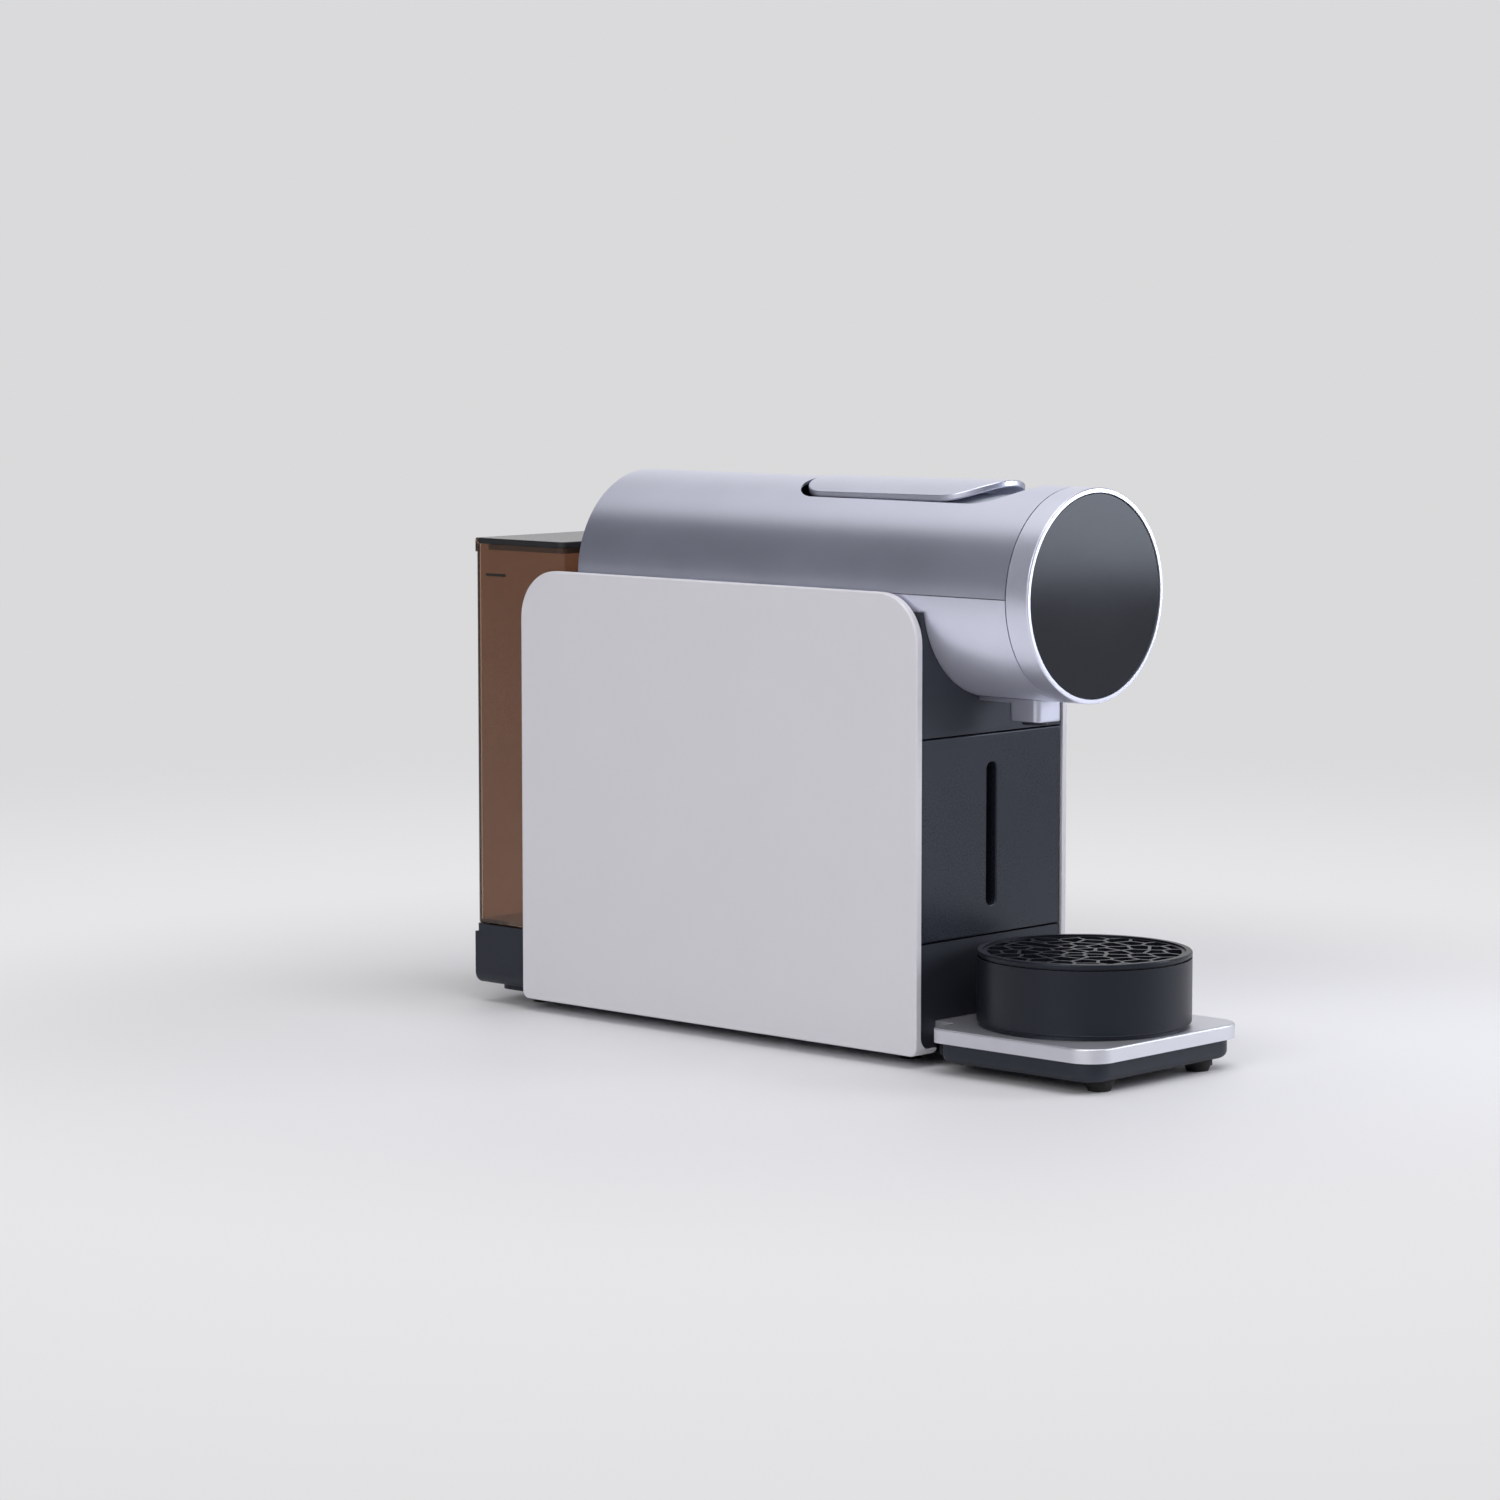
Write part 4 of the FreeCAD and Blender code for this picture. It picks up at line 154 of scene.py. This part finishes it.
# studio lights: name, place, point that they face, size, power in watts, colour
WHITE = (1, 1, 1)
LIGHTS = (
    ("overhead", (0.3, 0.85, 2.2), (0, 0, 0.2), (2.6, 1.6), 10, WHITE),
    ("front_top", (-0.4, -1.2, 3.0), (0, -0.2, 0), (2.6, 2.6), 56, WHITE),
    ("left_key", (-2.6, -0.6, 1.5), (0, 0, 0.15), (1.6, 1.6), 30, WHITE),
    ("front_right", (1.9, -2.0, 0.95), (0, -0.15, 0.2), (1.5, 1.4), 11, WHITE),
    ("display_card", (0.44, -0.566, 0.33), (0, -0.158, 0.24), (0.30, 0.28), 1.2, (0.84, 0.89, 1.0)),
)

# the room that shiny pieces mirror: dark, and pale towards the wall behind the machine
WALL_WAY = (0.73, 0.68, 0.0)
WALL_EDGE = (0.55, 0.95)
ROOM_DARK = (0.085, 0.09, 0.105, 1)
ROOM_PALE = (0.8, 0.8, 0.81, 1)

# the floor's half side, and how far from its middle it turns into the far floor and the wall
FLOOR_REACH = 14.0
FLOOR_FAR = (0.25, 0.6)
FLOOR_WALL = (0.45, 1.4)
FLOOR_LUMPS = 3.0
FLOOR_SPREAD = 0.01
FLOOR_ROUGH = 0.6

# width of the camera's film in millimetres
FILM_WIDTH = 36.0


class Value:
    """A number or vector that leaves a shader node, with ordinary arithmetic."""

    def __init__(self, shader, socket):
        self.shader = shader
        self.socket = socket

    def _math(self, operation, first, second):
        node = self.shader.node("ShaderNodeMath", {"operation": operation}, {0: first, 1: second})
        return Value(self.shader, node.outputs[0])

    def __add__(self, other):
        return self._math("ADD", self, other)

    def __radd__(self, other):
        return self._math("ADD", other, self)

    def __sub__(self, other):
        return self._math("SUBTRACT", self, other)

    def __rsub__(self, other):
        return self._math("SUBTRACT", other, self)

    def __mul__(self, other):
        return self._math("MULTIPLY", self, other)

    def __rmul__(self, other):
        return self._math("MULTIPLY", other, self)

    def band(self, low, high):
        """0 below low, 1 above high, smooth between."""
        node = self.shader.node(
            "ShaderNodeMapRange",
            {"interpolation_type": "SMOOTHSTEP"},
            {"Value": self, "From Min": low, "From Max": high},
        )
        return Value(self.shader, node.outputs[0])


class Shader:
    """One material or world under construction."""

    def __init__(self, owner):
        owner.use_nodes = True
        self.owner = owner
        self.tree = owner.node_tree
        self.tree.nodes.clear()

    def node(self, kind, settings=None, inputs=None):
        """Adds any node, with its settings and what feeds its inputs."""
        made = self.tree.nodes.new(kind)
        for name, value in (settings or {}).items():
            setattr(made, name, value)
        for name, value in (inputs or {}).items():
            if isinstance(value, Value):
                self.tree.links.new(value.socket, made.inputs[name])
            else:
                made.inputs[name].default_value = value
        return made

    def out(self, node, name=0):
        return Value(self, node.outputs[name])

    def place(self):
        """The point being shaded, in metres in the machine's own frame."""
        return self.out(self.node("ShaderNodeTexCoord"), "Object")

    def looking(self):
        """1 for the camera's own rays and those that go on through clear plastic."""
        path = self.node("ShaderNodeLightPath")
        return self.out(path, "Is Camera Ray") + self.out(path, "Is Transmission Ray")

    def noise(self, scale, detail=2.0, stretch=(1, 1, 1)):
        """A cloud of values about the even one, with the given number of lumps in a metre."""
        mapping = self.node("ShaderNodeMapping", inputs={"Vector": self.place(), "Scale": stretch})
        texture = self.node(
            "ShaderNodeTexNoise",
            inputs={"Vector": self.out(mapping), "Scale": scale, "Detail": detail},
        )
        return self.out(texture, "Fac")

    def mix(self, share, first, second):
        """A colour between two others."""
        node = self.node("ShaderNodeMix", {"data_type": "RGBA"}, {0: share, 6: first, 7: second})
        return self.out(node, 2)

    def blend(self, share, first, second):
        """A surface between two others."""
        inputs = {0: share, 1: self.out(first), 2: self.out(second)}
        return self.out(self.node("ShaderNodeMixShader", inputs=inputs))

    def bump(self, height, strength, distance):
        node = self.node(
            "ShaderNodeBump", inputs={"Height": height, "Strength": strength, "Distance": distance}
        )
        return self.out(node)

    def surface(self, inputs):
        """A principled surface on the material's output."""
        return self.finish(self.out(self.node("ShaderNodeBsdfPrincipled", inputs=inputs)))

    def finish(self, shader, kind="ShaderNodeOutputMaterial"):
        self.node(kind, inputs={"Surface": shader})
        return self.owner


def opaque(colour):
    """A colour with full cover."""
    return tuple(colour) + (1.0,)


def shade(colour, factor):
    """A lighter or darker version of a colour."""
    return opaque(min(1.0, c * factor) for c in colour[:3])


def grained(name, colour, grain, rough, metal=0.0, spread=CLOUD_SPREAD, **more):
    """A surface with fine grain, faint cloudiness in its colour and an uneven sheen."""
    lumps, depth = GRAIN[grain]
    s = Shader(bpy.data.materials.new(name))
    fine = s.noise(lumps, GRAIN_DETAIL)
    cloud = s.noise(CLOUD_LUMPS)
    return s.surface({
        "Base Color": s.mix(cloud, shade(colour, 1 - spread), shade(colour, 1 + spread)),
        "Metallic": metal,
        "Roughness": rough + (fine - EVEN) * GRAIN_SHEEN + (cloud - EVEN) * CLOUD_SHEEN,
        "Normal": s.bump(fine, GRAIN_BUMP, depth),
        **more,
    })


def turned(name, colour, rough):
    """Metal with fine lines left along one way by the tool."""
    s = Shader(bpy.data.materials.new(name))
    lines = s.noise(LINES, LINES_DETAIL, LINES_STRETCH)
    return s.surface({
        "Base Color": s.mix(lines, shade(colour, LINES_DARK), shade(colour, LINES_PALE)),
        "Metallic": 1.0,
        "Roughness": rough + (lines - EVEN) * LINES_SHEEN,
        "Normal": s.bump(lines, LINES_BUMP, LINES_DEPTH),
    })


def smoked(name, colour, rough):
    """Tinted clear plastic with a faint flow in its depth."""
    s = Shader(bpy.data.materials.new(name))
    flow = s.noise(FLOW_LUMPS, stretch=FLOW_STRETCH)
    return s.surface({
        "Base Color": s.mix(flow, shade(colour, FLOW_DARK), shade(colour, FLOW_PALE)),
        "Roughness": rough + flow * FLOW_SHEEN,
        "Normal": s.bump(flow, FLOW_BUMP, FLOW_DEPTH),
        **CLEAR,
    })


def dress(material, *nodes):
    """Puts one finish on CAD nodes."""
    for name in nodes:
        mesh = frame["nodes"][name].data
        mesh.materials.clear()
        mesh.materials.append(material)


def rides(name, mesh, body, material):
    """Adds a made mesh to a body of the machine."""
    made = bpy.data.objects.new(name, mesh)
    bpy.context.scene.collection.objects.link(made)
    mesh.materials.append(material)
    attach(made, body)
    return made


def shape(name, build):
    """A mesh from a bmesh recipe."""
    bm = bmesh.new()
    build(bm)
    bmesh.ops.recalc_face_normals(bm, faces=bm.faces[:])
    mesh = bpy.data.meshes.new(name)
    bm.to_mesh(mesh)
    bm.free()
    return mesh


def add_box(bm, low, high):
    """A closed box between two corners."""
    made = bmesh.ops.create_cube(bm, size=1.0)
    low, high = Vector(low), Vector(high)
    for v in made["verts"]:
        v.co = Vector(
            (low[i] + high[i]) / 2 + v.co[i] * (high[i] - low[i]) for i in range(3)
        )


def corners(node):
    """The lowest and the highest corner of a CAD node's box."""
    return (Vector(v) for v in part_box(node))


def aim(made, place, toward):
    """Stands a light or the camera in its place, facing a point."""
    bpy.context.scene.collection.objects.link(made)
    made.location = place
    made.rotation_mode = "QUATERNION"
    made.rotation_quaternion = (Vector(toward) - Vector(place)).to_track_quat("-Z", "Y")


def colour_prop(label, words, value):
    return bpy.props.FloatVectorProperty(
        name=label, description=words, default=value, subtype="COLOR", size=3, min=0.0, max=1.0
    )


def length_prop(label, words, value):
    return bpy.props.FloatProperty(name=label, description=words, default=value, unit="LENGTH")


def point_prop(label, words, value):
    return bpy.props.FloatVectorProperty(
        name=label, description=words, default=value, subtype="TRANSLATION", unit="LENGTH"
    )


class CoffeeFinishes(bpy.types.PropertyGroup):
    """Colours and sheen of the machine, and the sizes of its small marks."""

    silver: colour_prop("Silver", "Anodised shell of barrel, lever and dial", (0.80, 0.813, 0.94))
    plate: colour_prop("Cup plate", "Silver of the cup plate", (0.76, 0.765, 0.82))
    panel: colour_prop("Side panels", "Pale plastic of both side panels", (0.74, 0.725, 0.765))
    body: colour_prop("Body", "Dark plastic of the body", (0.0175, 0.019, 0.0265))
    bin: colour_prop(
        "Container front", "Dark front of the used-pod container", (0.0185, 0.021, 0.031)
    )
    tray: colour_prop("Drip tray", "Black of tray, grid and nozzle", (0.0085, 0.0092, 0.0135))
    well: colour_prop("Lever well", "Grey liner under the lever", (0.55, 0.58, 0.66))
    display: colour_prop("Display", "Black of the round display", (0.0055, 0.007, 0.0115))
    lid: colour_prop("Tank lid", "Black of the tank lid", (0.02, 0.02, 0.022))
    tank: colour_prop("Tank", "Smoked tint of the water tank", (0.422, 0.271, 0.192))
    sheen: bpy.props.FloatProperty(
        name="Sheen", description="Roughness of the silver shell", default=0.37, min=0.05, max=0.9,
        subtype="FACTOR",
    )
    mark_width: length_prop("Mark width", "Length of the level mark on the tank", 0.014)
    mark_height: length_prop("Mark height", "Height of the level mark above the table", 0.2174)
    mark_line: length_prop("Mark line", "Thickness of the level mark's line", 0.0013)
    label: bpy.props.FloatVectorProperty(
        name="Label", description="Width and length of the blank label under the base",
        default=(0.05, 0.03), size=2, unit="LENGTH",
    )


class CoffeeStudio(bpy.types.PropertyGroup):
    """Camera, floor and wall."""

    camera: point_prop("Camera", "Where the camera stands", (-1.671, -1.49635, 0.3743))
    target: point_prop("Target", "Point the camera looks at", (-0.1052, -0.03765, 0.1499))
    lens: bpy.props.FloatProperty(
        name="Lens", description="Focal length in millimetres", default=111.55, min=10.0, max=400.0
    )
    floor: colour_prop("Floor", "Pale studio floor", (0.82, 0.815, 0.83))
    middle: colour_prop(
        "Far floor", "Floor between the machine and the wall", (0.80, 0.795, 0.81)
    )
    backdrop: colour_prop("Backdrop", "Pale wall behind", (0.70, 0.70, 0.71))


class COFFEE_OT_silver(bpy.types.Operator):
    """Finish the silver pieces: barrel, dial, lever, spout and cup plate"""

    bl_idname = "coffee.silver"
    bl_label = "Silver pieces"

    def execute(self, context):
        looks = context.scene.coffee_finishes
        for name, metal, sheen, tone, nodes in SILVER:
            colour = shade(looks.silver, tone)
            dress(grained(name, colour, "anodised", looks.sheen * sheen, metal), *nodes)
        plate = grained("anodised_plate", looks.plate, "plate", looks.sheen * PLATE_SHEEN, 1.0)
        dress(plate, "cup_plate")
        return {"FINISHED"}


class COFFEE_OT_panels(bpy.types.Operator):
    """Finish the pale side panels"""

    bl_idname = "coffee.panels"
    bl_label = "Side panels"

    def execute(self, context):
        looks = context.scene.coffee_finishes
        pale = grained("pale_panel", looks.panel, "panel", rough=0.42, spread=0.015)
        dress(pale, "left_side_panel", "right_side_panel")
        return {"FINISHED"}


class COFFEE_OT_body(bpy.types.Operator):
    """Finish the dark body, the container and the feet, and stick on the blank label"""

    bl_idname = "coffee.body"
    bl_label = "Dark body"

    def execute(self, context):
        looks = context.scene.coffee_finishes
        dark = grained("dark_body", looks.body, "body", rough=0.5, **COOL)
        dress(dark, "stand_base", "base_tub", "left_frame", "right_frame", "rear_wall",
              "lower_front_wall", "front_fascia", "bin_shelf", "pod_chute", "pod_bin", "tank_dock",
              "bulkhead")
        dress(grained("container_front", looks.bin, "front", rough=0.28, **COOL_SOFT), "bin_front")
        dress(grained("foot_rubber", RUBBER, "rubber", rough=0.8), "rubber_feet", "pump_mounts")
        low, high = corners("base_tub")
        middle = (low + high) / 2
        wide, long = looks.label
        paper = grained("label_paper", PAPER, "paper", rough=0.6)

        def sheet(bm):
            add_box(bm, (middle.x - wide / 2, middle.y - long / 2, low.z - INK),
                    (middle.x + wide / 2, middle.y + long / 2, low.z + INK))

        rides("blank_label", shape("blank_label", sheet), "housing", paper)
        return {"FINISHED"}


class COFFEE_OT_tray(bpy.types.Operator):
    """Finish the drip tray, the cup grid, the other black pieces and the lever's well, and paint
    the pad under the tray black as painted shadow
    """

    bl_idname = "coffee.tray"
    bl_label = "Drip tray and grid"

    def execute(self, context):
        looks = context.scene.coffee_finishes
        black = grained("tray_black", looks.tray, "tray", rough=0.36, **COOL_SOFT)
        # the pad under the tray is a silver piece dressed in the tray's black as painted shadow,
        # standing in for the dark contact shadow line beneath the tray
        dress(black, "drip_tray", "cup_grid", "tray_pad", "spout_nozzle", "mains_inlet")
        dress(grained("well_grey", looks.well, "tray", rough=0.42), "lever_well")
        return {"FINISHED"}


class COFFEE_OT_display(bpy.types.Operator):
    """Finish the round display and what carries it"""

    bl_idname = "coffee.display"
    bl_label = "Display"

    def execute(self, context):
        looks = context.scene.coffee_finishes
        gloss = grained("display_gloss", looks.display, "display", rough=0.16, **COOL_GLASS)
        dress(gloss, "display_lens")
        dress(grained("carrier_black", looks.body, "carrier", rough=0.55), "display_carrier")
        return {"FINISHED"}


class COFFEE_OT_tank(bpy.types.Operator):
    """Finish the water tank, its lid and its valve, and print the level mark"""

    bl_idname = "coffee.tank"
    bl_label = "Water tank"

    def execute(self, context):
        looks = context.scene.coffee_finishes
        dress(smoked("tank_smoke", looks.tank, rough=0.06), "water_tank")
        dress(grained("lid_black", looks.lid, "lid", rough=0.24), "tank_lid")
        white = grained("valve_white", VALVE_WHITE, "white", rough=0.45)
        dress(white, "valve_cage", "valve_poppet")
        low, high = corners("water_tank")
        middle = low.y + (high.y - low.y) * MARK_PLACE
        ink = grained("mark_ink", MARK, "ink", rough=0.6)

        def line(bm):
            bottom, reach = looks.mark_height, looks.mark_width / 2
            add_box(bm, (low.x - INK, middle - reach, bottom),
                    (low.x + INK, middle + reach, bottom + looks.mark_line))

        rides("level_mark", shape("level_mark", line), "tank", ink)
        self.coil()
        return {"FINISHED"}

    def coil(self):
        """The valve's spring as a mesh of its own that rides the tank in place of the CAD spring,
        with its upper end fixed; it keeps its length as the valve lifts.
        """
        node = frame["nodes"]["valve_spring"]
        mesh = node.data.copy()
        mesh.transform(node.matrix_world)
        mesh.materials.clear()
        wire = turned("spring_wire", STEEL, rough=0.28)
        made = rides("valve_coil", mesh, "tank", wire)
        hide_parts("valve_spring")
        low, high = corners("valve_spring")
        stroke = next(j for j in frame["joints"] if j["name"] == "valve_lift")["range_m"][1]
        1 - stroke / (high.z - low.z)
        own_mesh(made)


class COFFEE_OT_works(bpy.types.Operator):
    """Finish the brew group, the water units and the boards"""

    bl_idname = "coffee.works"
    bl_label = "Works inside"

    def execute(self, context):
        dress(turned("drawn_steel", STEEL, rough=0.3),
              "base_screws", "exit_plate", "guide_rods", "lever_bracket", "lever_shaft",
              "sector_gear", "idler_gear", "idler_pin", "drive_rack", "dial_retainer",
              "valve_spring")
        dress(turned("pipe_brass", BRASS, rough=0.32), "feed_pipe")
        cast = grained("cast_alloy", ALLOY, "cast", rough=0.5, metal=1.0)
        dress(cast, "heater_block", "pod_cage")
        black = grained("works_black", MOULDING, "moulding", rough=0.5)
        dress(black, "brew_head", "brew_rear_plate", "brew_carriage", "pump")
        dress(grained("meter_white", METER_WHITE, "white", rough=0.4), "flow_meter")
        dress(grained("hose_silicone", SILICONE, "silicone", rough=0.55, **MILKY), "water_hoses")
        dress(grained("board_green", BOARD, "board", rough=0.4), "control_board", "display_board")
        return {"FINISHED"}


class COFFEE_OT_stage(bpy.types.Operator):
    """Build the floor, the light and the camera"""

    bl_idname = "coffee.stage"
    bl_label = "Studio"

    def execute(self, context):
        scene = context.scene
        studio = scene.coffee_studio
        scene.view_settings.view_transform = "Standard"
        self.world(scene, studio)
        self.floor(scene, studio)
        for light in LIGHTS:
            self.light(*light)
        data = bpy.data.cameras.new("photo_camera")
        data.lens = studio.lens
        data.sensor_width = FILM_WIDTH
        data.dof.use_dof = False
        camera = bpy.data.objects.new("photo_camera", data)
        aim(camera, studio.camera, studio.target)
        scene.camera = camera
        return {"FINISHED"}

    def light(self, name, place, toward, size, power, colour):
        """A rectangular studio light."""
        data = bpy.data.lights.new(name, "AREA")
        data.shape = "RECTANGLE"
        data.size, data.size_y = size
        data.energy = power
        data.color = colour
        aim(bpy.data.objects.new(name, data), place, toward)

    def world(self, scene, studio):
        """The pale wall that the camera sees, and the room that shiny pieces mirror."""
        scene.world = bpy.data.worlds.new("studio")
        s = Shader(scene.world)
        wall = s.node("ShaderNodeBackground", inputs={"Color": opaque(studio.backdrop)})
        way = s.out(s.node("ShaderNodeTexCoord"), "Generated")
        toward = s.node("ShaderNodeVectorMath", {"operation": "DOT_PRODUCT"}, {0: way, 1: WALL_WAY})
        tone = s.mix(s.out(toward, "Value").band(*WALL_EDGE), ROOM_DARK, ROOM_PALE)
        room = s.node("ShaderNodeBackground", inputs={"Color": tone})
        s.finish(s.blend(s.looking(), room, wall), "ShaderNodeOutputWorld")

    def floor(self, scene, studio):
        """A matt floor that turns into the wall far from the machine."""
        def sheet(bm):
            bmesh.ops.create_grid(bm, x_segments=2, y_segments=2, size=FLOOR_REACH)

        floor = bpy.data.objects.new("floor", shape("floor", sheet))
        scene.collection.objects.link(floor)
        s = Shader(bpy.data.materials.new("floor_pale"))
        tone = s.mix(s.noise(FLOOR_LUMPS), shade(studio.floor, 1 - FLOOR_SPREAD),
                     shade(studio.floor, 1 + FLOOR_SPREAD))
        matt = s.node("ShaderNodeBsdfPrincipled",
                      inputs={"Base Color": tone, "Roughness": FLOOR_ROUGH})
        length = s.node("ShaderNodeVectorMath", {"operation": "LENGTH"}, {0: s.place()})
        away = s.out(length, "Value")
        pale = s.mix(away.band(*FLOOR_WALL), opaque(studio.middle), opaque(studio.backdrop))
        glow = s.node("ShaderNodeEmission", inputs={"Color": pale})
        far = away.band(*FLOOR_FAR) * s.looking()
        floor.data.materials.append(s.finish(s.blend(far, matt, glow)))


class COFFEE_PT_panel(bpy.types.Panel):
    """Lists the finishes and the studio"""

    bl_label = "Coffee machine"
    bl_idname = "COFFEE_PT_panel"
    bl_space_type = "VIEW_3D"
    bl_region_type = "UI"
    bl_category = "Coffee"

    def draw(self, context):
        for step in STEPS:
            self.layout.operator(step.bl_idname)
        for group in (context.scene.coffee_finishes, context.scene.coffee_studio):
            for name in group.__annotations__:
                self.layout.prop(group, name)


STEPS = (COFFEE_OT_silver, COFFEE_OT_panels, COFFEE_OT_body, COFFEE_OT_tray, COFFEE_OT_display,
         COFFEE_OT_tank, COFFEE_OT_works, COFFEE_OT_stage)
CLASSES = (CoffeeFinishes, CoffeeStudio) + STEPS + (COFFEE_PT_panel,)


def register():
    for cls in CLASSES:
        bpy.utils.register_class(cls)
    bpy.types.Scene.coffee_finishes = bpy.props.PointerProperty(type=CoffeeFinishes)
    bpy.types.Scene.coffee_studio = bpy.props.PointerProperty(type=CoffeeStudio)


def unregister():
    del bpy.types.Scene.coffee_studio
    del bpy.types.Scene.coffee_finishes
    for cls in reversed(CLASSES):
        bpy.utils.unregister_class(cls)


def main():
    register()
    for step in STEPS:
        group, name = step.bl_idname.split(".")
        getattr(getattr(bpy.ops, group), name)()


if __name__ == "__main__":
    main()
